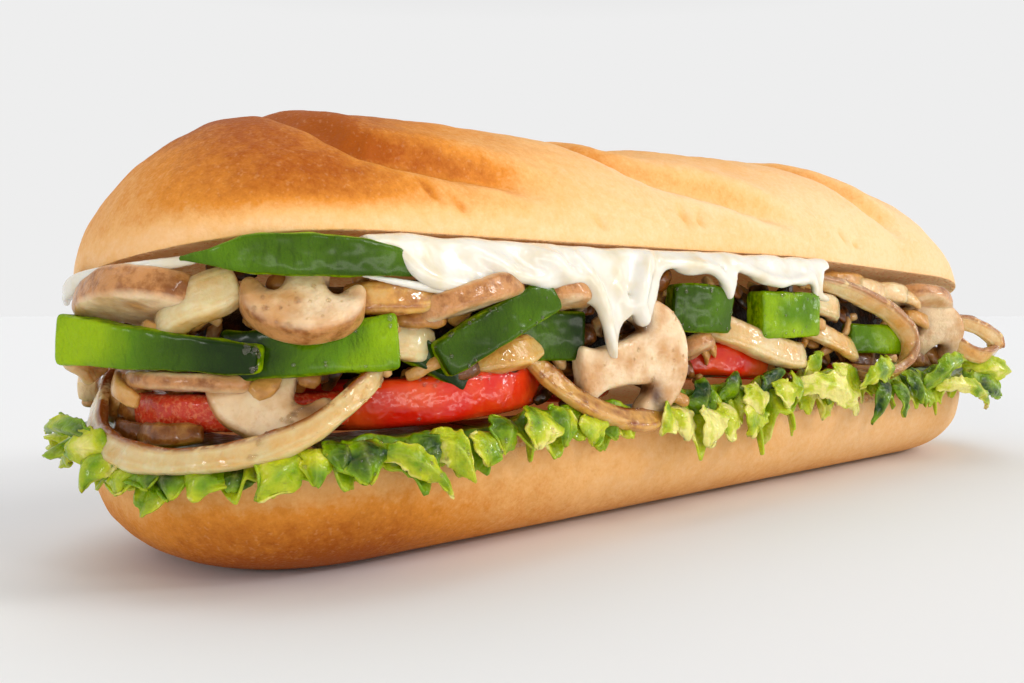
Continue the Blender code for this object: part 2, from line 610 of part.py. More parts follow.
def leaf(piece, collection):
    """A leaf: flat on the bread, up to a crest at the outline, then a frill that hangs over it."""
    columns = max(8, round((piece.end - piece.start) / LEAF_COLUMN))
    bm = bmesh.new()
    bmesh.ops.create_grid(bm, x_segments=columns, y_segments=5, size=0.5)
    bed, depth = LEAF_BED_Z / MM, LEAF_DEPTH / MM
    for vert in bm.verts:
        across, share = vert.co.x + 0.5, vert.co.y + 0.5
        s = piece.start + (piece.end - piece.start) * across
        wave = math.tau * piece.waves * across + piece.seed
        ragged = noise.noise(Vector((s * 0.13, piece.seed * 3.1, 0)))
        end = min(1.0, 6 * across + 0.2, 6 * (1 - across) + 0.2)
        rise = max(0.0, share - LEAF_RISE) / (LEAF_CREST - LEAF_RISE)
        fall = max(0.0, share - LEAF_CREST) / (1 - LEAF_CREST)
        swing = LEAF_RUFFLE / MM * (0.45 * min(1.0, rise) + 0.55 * fall)
        out = LEAF_LIP - depth * max(0.0, 1 - share / LEAF_CREST)
        out += (piece.reach - LEAF_LIP) * fall * (1 + 0.5 * ragged)
        z = bed + (piece.high - bed) * end * min(1.0, rise) ** 1.5 + 0.2 * math.sin(wave)
        z -= (piece.high - piece.low) * end * (1 + 0.4 * ragged) * fall
        z += swing * math.sin(wave) * 0.5
        out += swing * math.cos(wave * 0.83 + share * 3)
        vert.co = spot(s + 0.3 * swing * math.sin(2 * wave), z, out)
    bmesh.ops.triangulate(bm, faces=bm.faces)
    obj = object_from(piece.name, bm, "lettuce", collection)
    thick = obj.modifiers.new("leaf", "SOLIDIFY")
    thick.thickness = LEAF_THICK
    thick.offset = 0
    return obj


def cheese_hang(s):
    """How far the melted edge hangs at s, in mm."""
    hang = CHEESE_EDGE
    for middle, half, length in CHEESE_DRIPS:
        hang = max(hang, length * math.exp(-abs((s - middle) / half) ** 2.4))
    return hang


def cheese(collection):
    """A melted sheet: from under the top half, over the filling's edge, and down in drips."""
    start, end = CHEESE_SPAN
    bm = bmesh.new()
    bmesh.ops.create_grid(bm, x_segments=CHEESE_COLUMNS, y_segments=CHEESE_ROWS, size=0.5)
    for vert in bm.verts:
        s = start + (end - start) * (vert.co.x + 0.5)
        share = vert.co.y + 0.5
        inner = max(0.0, 1 - share / CHEESE_FOLD)
        hang = max(0.0, (share - CHEESE_FOLD) / (1 - CHEESE_FOLD)) * cheese_hang(s)
        out = CHEESE_OUT - CHEESE_DEPTH / MM * inner - 1.2 * math.exp(-hang / 3)
        z = TOP_CUT_Z / MM - CHEESE_LID - hang - math.tan(TOP_TILT) * max(0.0, -out)
        vert.co = spot(s, z, out)
    bmesh.ops.triangulate(bm, faces=bm.faces)
    obj = object_from("cheese_melted", bm, "cheese", collection)
    thick = obj.modifiers.new("sheet", "SOLIDIFY")
    thick.thickness = CHEESE_THICK
    thick.offset = 0
    return obj


def main():
    clear_scene()
    sandwich = bpy.data.collections.new("submarine_sandwich")
    bpy.context.scene.collection.children.link(sandwich)
    pieces = bread(sandwich)
    onions = [onion(band, sandwich) for band in ONIONS]
    pieces += onions[:1]
    pieces += [leaf(piece, sandwich) for piece in LEAVES]
    pieces.append(cheese(sandwich))
    pieces += [tomato(piece, sandwich) for piece in TOMATOES]
    pieces.append(core(sandwich))
    pieces += [pepper(strip, sandwich) for strip in PEPPERS]
    pieces += [mushroom(piece, sandwich) for piece in MUSHROOMS]
    pieces += onions[1:]
    for piece in pieces:
        settle(piece)
    for i, piece in enumerate(pieces):
        carve(piece, pieces[:i])


main()
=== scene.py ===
"""The looks of a loaded submarine sandwich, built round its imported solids.

The roll lies along X with its open front at -Y, and +Z is up. Lengths are metres; MM turns millimetres into them.
Places on the filling are (s, z, out) in millimetres: s runs along the roll's outline from the middle of the front,
positive to the right as seen from outside, z is the height, and out is how far the place stands outside it.
"""

import logging
import math
from dataclasses import dataclass, field
from enum import Enum
from itertools import product
from typing import ClassVar, Sequence, Union

import bpy
import numpy as np
from mathutils import Matrix, Vector


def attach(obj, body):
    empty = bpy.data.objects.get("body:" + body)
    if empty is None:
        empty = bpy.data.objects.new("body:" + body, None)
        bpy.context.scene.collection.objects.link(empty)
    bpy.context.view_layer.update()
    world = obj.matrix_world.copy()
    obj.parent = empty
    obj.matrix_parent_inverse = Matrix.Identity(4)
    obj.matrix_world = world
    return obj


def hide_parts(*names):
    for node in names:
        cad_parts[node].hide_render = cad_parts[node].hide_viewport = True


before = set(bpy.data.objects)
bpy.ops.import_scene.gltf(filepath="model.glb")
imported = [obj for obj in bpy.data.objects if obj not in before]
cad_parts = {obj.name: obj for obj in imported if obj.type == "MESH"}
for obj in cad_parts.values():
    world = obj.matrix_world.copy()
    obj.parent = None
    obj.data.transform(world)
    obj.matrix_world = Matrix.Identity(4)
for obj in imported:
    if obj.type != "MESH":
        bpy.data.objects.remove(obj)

MM = 0.001
LOOK = "_look"
LOG = logging.getLogger("sandwich")
Colour = tuple[float, float, float]
Value = Union[float, bpy.types.NodeSocket]
Place = tuple[float, float, float]
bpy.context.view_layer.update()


def srgb(red: int, green: int, blue: int) -> Colour:
    """A colour given as it looks on a screen, 0 to 255, as linear light."""
    return tuple((c / 255 / 12.92 if c <= 10 else ((c / 255 + 0.055) / 1.055) ** 2.4) for c in (red, green, blue))


def bell(values: np.ndarray, middle: float, spread: float) -> np.ndarray:
    """A smooth hump of height 1."""
    return np.exp(-(((values - middle) / spread) ** 2))


def step(values: np.ndarray, low: float, high: float) -> np.ndarray:
    """A smooth rise from 0 at low to 1 at high."""
    share = np.clip((values - low) / (high - low), 0, 1)
    return share * share * (3 - 2 * share)


def unit(vectors: np.ndarray) -> np.ndarray:
    """The same directions at length 1."""
    return vectors / np.maximum(np.linalg.norm(vectors, axis=-1, keepdims=True), 1e-12)


class Slot(Enum):
    """The record's material slots, one for each kind of food."""

    CRUST = "crust"
    LETTUCE = "lettuce"
    TOMATO = "tomato"
    PEPPER = "pepper"
    MUSHROOM = "mushroom"
    ONION = "onion"
    CHEESE = "cheese"
    SAUTE = "saute"


class Grain:
    """Smooth seeded noise over whole arrays of points, about -0.7 to 0.7."""

    def __init__(self, seed: int) -> None:
        """Draws the table of slopes from the seed."""
        draw = np.random.default_rng(seed)
        self.order = draw.permutation(256)
        self.slopes = unit(draw.normal(size=(256, 3)))

    def at(self, points: np.ndarray, size: Union[float, Sequence[float]]) -> np.ndarray:
        """Noise at the points.

        Args:
            points: an array of points, one a row.
            size: how large a lump is, in metres, for all axes or for each.

        Returns:
            One value a point.
        """
        scaled = points / np.asarray(size)
        cell = np.floor(scaled).astype(int)
        inside = scaled - cell
        fade = inside**3 * (inside * (inside * 6 - 15) + 10)
        total = np.zeros(len(points))
        for corner in product((0, 1), repeat=3):
            key = np.zeros(len(points), int)
            weight = np.ones(len(points))
            for axis, side in enumerate(corner):
                key = self.order[(key + cell[:, axis] + side) & 255]
                weight = weight * (fade[:, axis] if side else 1 - fade[:, axis])
            total += weight * np.einsum("ij,ij->i", self.slopes[key], inside - np.array(corner))
        return total

    def rough(self, points: np.ndarray, size: float, octaves: int = 3) -> np.ndarray:
        """Noise with finer noise on it, each half the size and half the height of the last."""
        return sum(self.at(points + k, size / 2**k) / 2**k for k in range(octaves))


@dataclass(frozen=True)
class Outline:
    """The roll's outline seen from above: a rounded rectangle."""

    half_length: float = 142.5 * MM
    half_width: float = 38 * MM
    corner: float = 34 * MM

    def at(self, s: np.ndarray) -> tuple[np.ndarray, np.ndarray, np.ndarray]:
        """Points, tangents and outward normals s metres along it from the middle of the front."""
        side, along = np.where(s >= 0, 1.0, -1.0), np.abs(s)
        straight, flat = self.half_length - self.corner, 2 * (self.half_width - self.corner)
        quarter = math.pi / 2 * self.corner
        first = np.clip((along - straight) / self.corner, 0, math.pi / 2)
        second = np.clip((along - straight - quarter - flat) / self.corner, 0, math.pi / 2)
        angle = first + second
        x = np.minimum(along, straight) + self.corner * (np.sin(first) - 1 + np.cos(second))
        x -= np.maximum(0, along - straight - 2 * quarter - flat)
        y = -self.half_width + self.corner * (1 - np.cos(first) + np.sin(second))
        y += np.clip(along - straight - quarter, 0, flat)
        zero = np.zeros_like(x)
        point = np.stack([side * x, y, zero], -1)
        tangent = np.stack([np.cos(angle), side * np.sin(angle), zero], -1)
        normal = np.stack([side * np.sin(angle), -np.cos(angle), zero], -1)
        return point, tangent, normal

    def spots(self, s: np.ndarray, z: np.ndarray, out: np.ndarray) -> np.ndarray:
        """The points that (s, z, out) in millimetres mean."""
        point, _, normal = self.at(np.asarray(s, float) * MM)
        up = np.zeros_like(point)
        up[..., 2] = np.asarray(z, float) * MM
        return point + normal * (np.asarray(out, float) * MM)[..., None] + up

    def stand(self, at: Place, turn: Place) -> np.ndarray:
        """The 4x4 matrix that puts a piece at (s, z, out), turned by (roll, yaw, pitch) degrees."""
        _, tangent, normal = (row[0] for row in self.at(np.array([at[0] * MM])))
        basis = Matrix((tangent, -normal, (0, 0, 1))).transposed().to_4x4()
        roll, yaw, pitch = (math.radians(angle) for angle in turn)
        spin = Matrix.Rotation(yaw, 4, "Z") @ Matrix.Rotation(-roll, 4, "Y") @ Matrix.Rotation(pitch, 4, "X")
        place = Vector(self.spots(*(np.array([value]) for value in at))[0])
        return np.array(Matrix.Translation(place) @ basis @ spin)


OUTLINE = Outline()


def smooth_line(places: Sequence[Sequence[float]], count: int, closed: bool = False) -> np.ndarray:
    """Points at even steps of a smooth curve through the places.

    Args:
        places: the points that the curve goes through.
        count: how many points are wanted.
        closed: whether the curve goes round to its start.

    Returns:
        An array of count points.
    """
    given = np.array(places, float)
    if closed:
        padded = np.concatenate([given[-1:], given, given[:2]])
        along = np.arange(count) / count * len(given)
    else:
        padded = np.concatenate([2 * given[:1] - given[1:2], given, 2 * given[-1:] - given[-2:-1]])
        along = np.linspace(0, len(given) - 1, count)
    k = np.minimum(along.astype(int), len(padded) - 4)
    t = (along - k)[:, None]
    a, b, c, d = (padded[k + i] for i in range(4))
    return 0.5 * (2 * b + (c - a) * t + (2 * a - 5 * b + 4 * c - d) * t**2 + (3 * b - a - 3 * c + d) * t**3)


@dataclass
class Shape:
    """A surface being made: points in metres, faces of four corners, and the values painted on its points.

    A triangle repeats its last corner.
    """

    points: np.ndarray
    faces: np.ndarray
    paint: dict[str, np.ndarray] = field(default_factory=dict)
    material_of: np.ndarray = None

    @classmethod
    def tube(cls, rings: np.ndarray, poles: np.ndarray) -> "Shape":
        """A closed surface through rings of points, with a pole point at each end."""
        count, around, _ = rings.shape
        start = np.arange(count - 1)[:, None] * around + np.arange(around)
        following = np.arange(count - 1)[:, None] * around + np.roll(np.arange(around), -1)
        quads = np.stack([start, following, following + around, start + around], -1).reshape(-1, 4)
        first, last = start[0], start[0] + (count - 1) * around
        near, far = count * around, count * around + 1
        turned = np.roll(first, -1)
        caps = [np.stack([np.full(around, near), turned, first, first], -1)]
        caps.append(np.stack([np.full(around, far), last, np.roll(last, -1), np.roll(last, -1)], -1))
        shape = cls(np.concatenate([rings.reshape(-1, 3), poles]), np.concatenate([quads, *caps]))
        return shape.facing_out()

    @classmethod
    def sheet(cls, grid: np.ndarray, thick: np.ndarray) -> "Shape":
        """A closed thin sheet over a grid of points.

        Args:
            grid: rows x columns x 3 points of the sheet's middle.
            thick: how thick it is at each point.

        Returns:
            The sheet, whose points are the grid's upper side and then its lower side.
        """
        rows, columns, _ = grid.shape
        down, across = np.gradient(grid, axis=0), np.gradient(grid, axis=1)
        normal = unit(np.cross(across, down))
        half = (thick / 2)[..., None] * normal
        index = np.arange(rows * columns).reshape(rows, columns)
        top = np.stack([index[:-1, :-1], index[:-1, 1:], index[1:, 1:], index[1:, :-1]], -1).reshape(-1, 4)
        border = np.concatenate([index[0], index[1:, -1], index[-1, -2::-1], index[-2:0:-1, 0]])
        turned = np.roll(border, -1)
        rim = np.stack([border, border + index.size, turned + index.size, turned], -1)
        faces = np.concatenate([top, top[:, ::-1] + index.size, rim])
        shape = cls(np.concatenate([(grid + half).reshape(-1, 3), (grid - half).reshape(-1, 3)]), faces)
        return shape.facing_out()

    @classmethod
    def of_object(cls, obj: bpy.types.Object) -> "Shape":
        """The object's evaluated mesh, and the object removed."""
        bpy.context.view_layer.update()
        evaluated = obj.evaluated_get(bpy.context.evaluated_depsgraph_get())
        mesh = evaluated.to_mesh()
        points = np.empty(len(mesh.vertices) * 3)
        mesh.vertices.foreach_get("co", points)
        corners = [tuple(face.vertices) for face in mesh.polygons]
        faces = np.array([c if len(c) == 4 else (*c, c[-1]) for c in corners])
        evaluated.to_mesh_clear()
        bpy.data.objects.remove(obj, do_unlink=True)
        return cls(points.reshape(-1, 3), faces)

    @classmethod
    def fused(cls, shapes: Sequence["Shape"], voxel: float) -> "Shape":
        """The shapes melted into one skin of even small faces."""
        obj = cls.joined(shapes).object_named("melted")
        remesh = obj.modifiers.new("melt", "REMESH")
        remesh.mode = "VOXEL"
        remesh.voxel_size = voxel
        return cls.of_object(obj)

    @classmethod
    def joined(cls, shapes: Sequence["Shape"]) -> "Shape":
        """Several shapes as one, each still a body of its own."""
        names = {name for shape in shapes for name in shape.paint}
        offsets = np.cumsum([0] + [len(shape.points) for shape in shapes])
        faces = np.concatenate([shape.faces + offset for shape, offset in zip(shapes, offsets)])
        paint = {}
        for name in sorted(names):
            paint[name] = np.concatenate([s.paint.get(name, np.zeros(len(s.points))) for s in shapes])
        return cls(np.concatenate([shape.points for shape in shapes]), faces, paint)

    def facing_out(self) -> "Shape":
        """The same shape with its faces turned outwards."""
        a, b, c = (self.points[self.faces[:, i]] for i in range(3))
        d = self.points[self.faces[:, 3]]
        volume = np.einsum("ij,ij->i", a, np.cross(b, c)).sum() + np.einsum("ij,ij->i", a, np.cross(c, d)).sum()
        if volume < 0:
            flipped = self.faces[:, ::-1].copy()
            three = self.faces[:, 2] == self.faces[:, 3]
            flipped[three] = self.faces[three][:, [1, 0, 2, 2]]
            self.faces = flipped
        return self

    def normals(self) -> np.ndarray:
        """The outward direction at each point."""
        a, b, c, d = (self.points[self.faces[:, i]] for i in range(4))
        turned = np.cross(c - a, d - b)
        total = np.zeros_like(self.points)
        for corner in range(4):
            for axis in range(3):
                ends = self.faces[:, corner]
                total[:, axis] += np.bincount(ends, weights=turned[:, axis], minlength=len(total))
        return unit(total)

    def pushed(self, height: np.ndarray) -> "Shape":
        """Moves each point out along its normal."""
        self.points = self.points + self.normals() * height[:, None]
        return self

    def moved(self, matrix: np.ndarray) -> "Shape":
        """Places the shape by a 4x4 matrix."""
        self.points = self.points @ matrix[:3, :3].T + matrix[:3, 3]
        return self

    def smoothed(self, rounds: int, amount: float = 0.5) -> "Shape":
        """Draws each point towards its neighbours, a number of times."""
        ends = np.concatenate([self.faces[:, [i, (i + 1) % 4]] for i in range(4)])
        ends = ends[ends[:, 0] != ends[:, 1]]
        size = len(self.points)
        count = np.maximum(np.bincount(ends[:, 0], minlength=size), 1)
        for _ in range(rounds):
            sums = [np.bincount(ends[:, 0], weights=self.points[ends[:, 1], i], minlength=size) for i in range(3)]
            self.points = self.points + amount * (np.stack(sums, -1) / count[:, None] - self.points)
        return self

    def object_named(self, name: str, *materials: bpy.types.Material) -> bpy.types.Object:
        """Makes the Blender object, with its painted values and smooth faces."""
        corners = [face[:3] if face[2] == face[3] else face for face in self.faces.tolist()]
        mesh = bpy.data.meshes.new(name)
        mesh.from_pydata(self.points.tolist(), [], corners)
        mesh.shade_smooth()
        for key, values in self.paint.items():
            layer = mesh.attributes.new(key, "FLOAT", "POINT")
            layer.data.foreach_set("value", values.astype(np.float32))
        for material in materials:
            mesh.materials.append(material)
        if self.material_of is not None:
            mesh.polygons.foreach_set("material_index", self.material_of.astype(np.int32))
        obj = bpy.data.objects.new(name, mesh)
        bpy.context.scene.collection.objects.link(obj)
        return obj


@dataclass
class Ribbon:
    """A thick band swept along a line, with its width and thickness and their directions at each step."""

    middle: np.ndarray
    wide: np.ndarray
    inward: np.ndarray
    width: np.ndarray
    thick: np.ndarray
    edge: float = 0.8 * MM
    power: float = 5.0
    end_angles: ClassVar[tuple[float, ...]] = (25, 50, 75, 90)
    end_shares: ClassVar[tuple[float, ...]] = (0.75, 0.5, 0.25)

    def shape(self, around: int = 32) -> Shape:
        """Sweeps the section along the line and rounds its ends.

        Args:
            around: how many points go round the section.

        Returns:
            The band, painted with across and through (-1 to 1), along (metres) and cap (1 on a cut end).
        """
        turn = np.linspace(0, math.tau, around, endpoint=False)
        across = np.sign(np.cos(turn)) * np.abs(np.cos(turn)) ** (2 / self.power)
        through = np.sign(np.sin(turn)) * np.abs(np.sin(turn)) ** (2 / self.power)
        ahead = unit(np.gradient(self.middle, axis=0))
        along = np.concatenate([[0], np.cumsum(np.linalg.norm(np.diff(self.middle, axis=0), axis=1))])
        last = len(self.middle) - 1
        stations = [(k, 0.0, 0.0, 1.0, 0.0) for k in range(last + 1)]
        for angle in self.end_angles:
            reach, inset = math.sin(math.radians(angle)), 1 - math.cos(math.radians(angle))
            stations.insert(0, (0, -reach, inset, 1.0, 1.0))
            stations.append((last, reach, inset, 1.0, 1.0))
        for share in self.end_shares:
            stations.insert(0, (0, -1.0, 1.0, share, 1.0))
            stations.append((last, 1.0, 1.0, share, 1.0))
        rings, paint = [], {"across": [], "through": [], "along": [], "cap": []}
        for k, reach, inset, share, cap in stations:
            centre = self.middle[k] + ahead[k] * reach * self.edge
            half_wide = (self.width[k] / 2 - inset * self.edge) * share
            half_thick = (self.thick[k] / 2 - inset * self.edge) * share
            ring = np.outer(across * half_wide, self.wide[k]) + np.outer(through * half_thick, self.inward[k])
            rings.append(centre + ring)
            paint["across"].append(across * share)
            paint["through"].append(through * share)
            paint["along"].append(np.full(around, along[k]))
            paint["cap"].append(np.full(around, cap))
        rings = np.array(rings)
        poles = np.array([rings[0].mean(0), rings[-1].mean(0)])
        shape = Shape.tube(rings, poles)
        ends = {"across": (0, 0), "through": (0, 0), "along": (0, along[-1]), "cap": (1, 1)}
        shape.paint = {key: np.concatenate([*values, ends[key]]) for key, values in paint.items()}
        return shape


class Graph:
    """A material's node tree, built with short calls. Sizes of its patterns are in millimetres."""

    def __init__(self, name: str) -> None:
        """Starts from the plain shader."""
        self.material = bpy.data.materials.new(name)
        self.material.use_nodes = True
        self.tree = self.material.node_tree
        self.shader = self.tree.nodes["Principled BSDF"]
        self.place = self.tree.nodes.new("ShaderNodeTexCoord").outputs["Object"]

    def node(self, kind: str, inputs: dict[Union[str, int], Value], **settings: object) -> bpy.types.Node:
        """A node with its settings and inputs; an input is a value or another node's socket."""
        made = self.tree.nodes.new(kind)
        for key, value in settings.items():
            setattr(made, key, value)
        for key, value in inputs.items():
            self.feed(made.inputs[key], value)
        return made

    def feed(self, socket: bpy.types.NodeSocket, value: Value) -> None:
        """Sets or links one input."""
        if isinstance(value, bpy.types.NodeSocket):
            self.tree.links.new(value, socket)
        else:
            socket.default_value = value

    def painted(self, name: str) -> bpy.types.NodeSocket:
        """A value painted on the mesh."""
        return self.node("ShaderNodeAttribute", {}, attribute_name=name).outputs["Fac"]

    def noise(self, size: float, detail: float = 2, rough: float = 0.5, stretch: Place = (1, 1, 1)) -> Value:
        """Cloudy noise of about that lump size, stretched along axes if asked."""
        place = self.place
        if stretch != (1, 1, 1):
            scale = tuple(1 / value for value in stretch)
            place = self.node("ShaderNodeMapping", {"Vector": place, "Scale": scale}).outputs[0]
        inputs = {"Vector": place, "Scale": 1 / (size * MM), "Detail": detail, "Roughness": rough}
        return self.node("ShaderNodeTexNoise", inputs).outputs[0]

    def cells(self, size: float, feature: str = "F1") -> Value:
        """Distance to the nearest of scattered points."""
        inputs = {"Vector": self.place, "Scale": 1 / (size * MM)}
        return self.node("ShaderNodeTexVoronoi", inputs, feature=feature).outputs["Distance"]

    def math(self, operation: str, *values: Value) -> Value:
        """One sum, by the named operation."""
        made = self.node("ShaderNodeMath", dict(enumerate(values)), operation=operation)
        return made.outputs[0]

    def swing(self, value: Value, amount: float, middle: float = 0.5) -> Value:
        """The value's distance from its middle, times an amount."""
        return self.math("MULTIPLY_ADD", value, amount, -amount * middle)

    def total(self, *values: Value) -> Value:
        """All the values added up."""
        found = values[0]
        for value in values[1:]:
            found = self.math("ADD", found, value)
        return found

    def window(self, value: Value, low: float, high: float) -> Value:
        """0 below low and 1 above high, or the other way round if low is larger."""
        inputs = {0: value, 1: low, 2: high, 3: 0.0, 4: 1.0}
        return self.node("ShaderNodeMapRange", inputs, interpolation_type="SMOOTHSTEP").outputs[0]

    def ramp(self, factor: Value, *stops: tuple[float, Colour]) -> Value:
        """A colour that runs through the stops."""
        made = self.node("ShaderNodeValToRGB", {0: factor})
        elements = made.color_ramp.elements
        while len(elements) < len(stops):
            elements.new(0.5)
        for element, (place, colour) in zip(elements, stops):
            element.position = place
            element.color = (*colour, 1)
        return made.outputs["Color"]

    def blend(self, factor: Value, under: Union[Colour, Value], over: Union[Colour, Value]) -> Value:
        """Two colours mixed."""
        under, over = ((*c, 1) if isinstance(c, tuple) else c for c in (under, over))
        made = self.node("ShaderNodeMix", {0: factor}, data_type="RGBA")
        self.feed(made.inputs[6], under)
        self.feed(made.inputs[7], over)
        return made.outputs[2]

    def bump(self, height: Value, depth: float, under: Value = None) -> Value:
        """A relief of that depth, over another one if given."""
        inputs = {"Height": height, "Distance": depth * MM, "Strength": 1.0}
        if under is not None:
            inputs["Normal"] = under
        return self.node("ShaderNodeBump", inputs).outputs[0]

    def wet(self, size: float, depth: float) -> bpy.types.NodeSocket:
        """A smooth relief for the film of oil and juice on a food."""
        return self.bump(self.noise(size, 1), depth)

    def finish(self, **values: Value) -> bpy.types.Material:
        """Sets the shader's sockets, named with underscores for spaces, and returns the material."""
        for key, value in values.items():
            if isinstance(value, tuple) and len(value) == 3 and key.endswith(("Color", "Tint")):
                value = (*value, 1)
            self.feed(self.shader.inputs[key.replace("_", " ")], value)
        return self.material


@dataclass(frozen=True)
class Finish:
    """A finish of one kind of food."""

    made: ClassVar[dict[str, bpy.types.Material]] = {}

    def material(self) -> bpy.types.Material:
        """The finish's material, made once."""
        name = type(self).__name__
        if name not in Finish.made:
            Finish.made[name] = self.draw(Graph(name))
        return Finish.made[name]

    def draw(self, graph: Graph) -> bpy.types.Material:
        """Builds the node tree; each finish has its own."""
        raise NotImplementedError


@dataclass(frozen=True)
class CrustFinish(Finish):
    """Baked crust: pale gold to orange brown by the painted bake and shade, with blotches and flour-fine specks."""

    pale: Colour = srgb(246, 203, 154)
    gold: Colour = srgb(238, 180, 112)
    amber: Colour = srgb(216, 136, 46)
    brown: Colour = srgb(164, 82, 8)

    def draw(self, graph: Graph) -> bpy.types.Material:
        """Colour from the painted bake and painted shade, relief from fine noise."""
        blotch = graph.swing(graph.noise(16, 3), 0.34)
        mottle = graph.swing(graph.noise(2.2, 4, 0.7), 0.46)
        speck = graph.noise(0.7, 2, 0.6)
        tone = graph.total(graph.painted("bake"), blotch, mottle, graph.swing(speck, 0.16))
        stops = ((0.0, self.pale), (0.34, self.gold), (0.66, self.amber), (1.0, self.brown))
        colour = graph.ramp(tone, *stops)
        flour = graph.math("MULTIPLY", graph.window(graph.noise(0.9, 1), 0.60, 0.76), 0.12)
        colour = graph.blend(flour, colour, self.pale)
        relief = graph.bump(graph.noise(0.55, 3, 0.6), 0.10)
        relief = graph.bump(graph.noise(2.2, 3, 0.55), 0.22, relief)
        return graph.finish(
            Base_Color=colour, Roughness=graph.window(speck, -0.9, 1.5), Normal=relief, Specular_IOR_Level=0.16,
            Subsurface_Weight=0.12, Subsurface_Radius=(1.0, 0.5, 0.25), Subsurface_Scale=1.4 * MM,
        )


@dataclass(frozen=True)
class CrumbFinish(Finish):
    """The soft cut face of the bread, with pores, and a painted warm glow standing in for light thrown up from the
    table.
    """

    light: Colour = srgb(246, 212, 164)
    dark: Colour = srgb(206, 150, 96)

    def draw(self, graph: Graph) -> bpy.types.Material:
        """Cream crumb, darker in its pores."""
        pores = graph.window(graph.cells(1.9), 0.12, 0.42)
        web = graph.noise(0.9, 4, 0.7)
        tone = graph.math("MULTIPLY", pores, graph.window(web, 0.2, 0.6))
        colour = graph.blend(graph.window(tone, 0.0, 0.8), self.dark, self.light)
        relief = graph.bump(tone, 0.5)
        relief = graph.bump(web, 0.35, relief)
        return graph.finish(
            Base_Color=colour, Roughness=0.8, Normal=relief, Specular_IOR_Level=0.2,
            Subsurface_Weight=0.3, Subsurface_Radius=(1.0, 0.7, 0.4), Subsurface_Scale=2 * MM,
            # Painted glow: this emission stands in for bounce light on the crumb face; the bread itself gives no
            # light.
            Emission_Color=srgb(214, 140, 76), Emission_Strength=0.22,
        )


@dataclass(frozen=True)
class LeafFinish(Finish):
    """Lettuce: deep green folds, yellow-green frill, pale veins, thin enough for light to come through."""

    deep: Colour = srgb(22, 58, 0)
    green: Colour = srgb(118, 154, 0)
    frill: Colour = srgb(196, 202, 34)
    vein: Colour = srgb(234, 226, 130)

    def draw(self, graph: Graph) -> bpy.types.Material:
        """Colour from the painted paleness and veins."""
        cloud = graph.swing(graph.noise(9, 3), 1.3)
        tone = graph.total(graph.painted("pale"), cloud, graph.swing(graph.noise(1.8, 2), 0.4))
        colour = graph.ramp(tone, (0.0, self.deep), (0.42, self.green), (0.85, self.frill), (1.0, self.vein))
        colour = graph.blend(graph.math("MULTIPLY", graph.painted("vein"), 0.16), colour, self.vein)
        blister = graph.noise(1.7, 2, 0.5)
        relief = graph.bump(blister, 0.8)
        relief = graph.bump(graph.painted("vein"), 0.2, relief)
        return graph.finish(
            Base_Color=colour, Roughness=0.34, Normal=relief, Specular_IOR_Level=0.12,
            Subsurface_Weight=0.4, Subsurface_Radius=(0.6, 1.0, 0.10), Subsurface_Scale=1.4 * MM,
            Coat_Weight=0.4, Coat_Roughness=0.12, Coat_Normal=graph.wet(2.2, 0.6),
        )


@dataclass(frozen=True)
class TomatoFinish(Finish):
    """Tomato: shining red skin on the rim and wet, grainier flesh on the cut faces."""

    skin: Colour = srgb(216, 26, 6)
    orange: Colour = srgb(240, 86, 24)
    flesh: Colour = srgb(222, 62, 26)
    pale: Colour = srgb(244, 132, 84)

    def draw(self, graph: Graph) -> bpy.types.Material:
        """Skin and flesh by the painted mask."""
        skin = graph.blend(graph.window(graph.noise(11, 3), 0.40, 0.72), self.skin, self.orange)
        grain = graph.noise(0.8, 3, 0.7)
        flesh = graph.blend(graph.window(grain, 0.45, 0.68), self.flesh, self.pale)
        colour = graph.blend(graph.painted("flesh"), skin, flesh)
        rough = graph.math("MULTIPLY", grain, graph.painted("flesh"))
        relief = graph.bump(rough, 0.5)
        relief = graph.bump(graph.noise(3.5, 2), 0.45, relief)
        return graph.finish(
            Base_Color=colour, Roughness=0.22, Normal=relief, Specular_IOR_Level=0.1,
            Subsurface_Weight=0.5, Subsurface_Radius=(1.0, 0.22, 0.10), Subsurface_Scale=3 * MM,
            Coat_Weight=0.6, Coat_Roughness=0.09, Coat_Normal=graph.wet(1.8, 0.2),
        )


@dataclass(frozen=True)
class PepperFinish(Finish):
    """Cooked green pepper: dark oiled skin brightened by painted light where the strip says, bright cut wall, pale
    inner side.
    """

    skin: Colour = srgb(24, 46, 0)
    bright: Colour = srgb(88, 128, 0)
    wall: Colour = srgb(150, 182, 0)
    inner: Colour = srgb(190, 200, 60)

    def draw(self, graph: Graph) -> bpy.types.Material:
        """Skin, cut wall and inner side by the painted masks."""
        cloud = graph.math("MULTIPLY", graph.window(graph.noise(16, 2), 0.35, 0.75), 0.34)
        # Painted light: the skin tone rises with the painted light value, from dark skin to bright green where light
        # falls.
        tone = graph.total(graph.painted("lit"), cloud)
        skin = graph.ramp(tone, (0.06, self.skin), (0.62, self.bright), (1.0, self.wall))
        wall = graph.blend(graph.window(graph.noise(1.6, 3), 0.35, 0.7), self.wall, self.bright)
        colour = graph.blend(graph.painted("cut"), skin, wall)
        colour = graph.blend(graph.painted("inner"), colour, self.inner)
        relief = graph.bump(graph.noise(6.0, 2), 1.4)
        relief = graph.bump(graph.noise(1.5, 3, 0.6, (1.0, 1.0, 1.7)), 1.0, relief)
        return graph.finish(
            Base_Color=colour, Roughness=0.3, Normal=relief, Specular_IOR_Level=0.0,
            Subsurface_Weight=0.10, Subsurface_Radius=(0.35, 1.0, 0.02), Subsurface_Scale=1.2 * MM,
            Coat_Weight=0.4, Coat_Roughness=0.2, Coat_Normal=graph.wet(3.6, 0.5),
        )


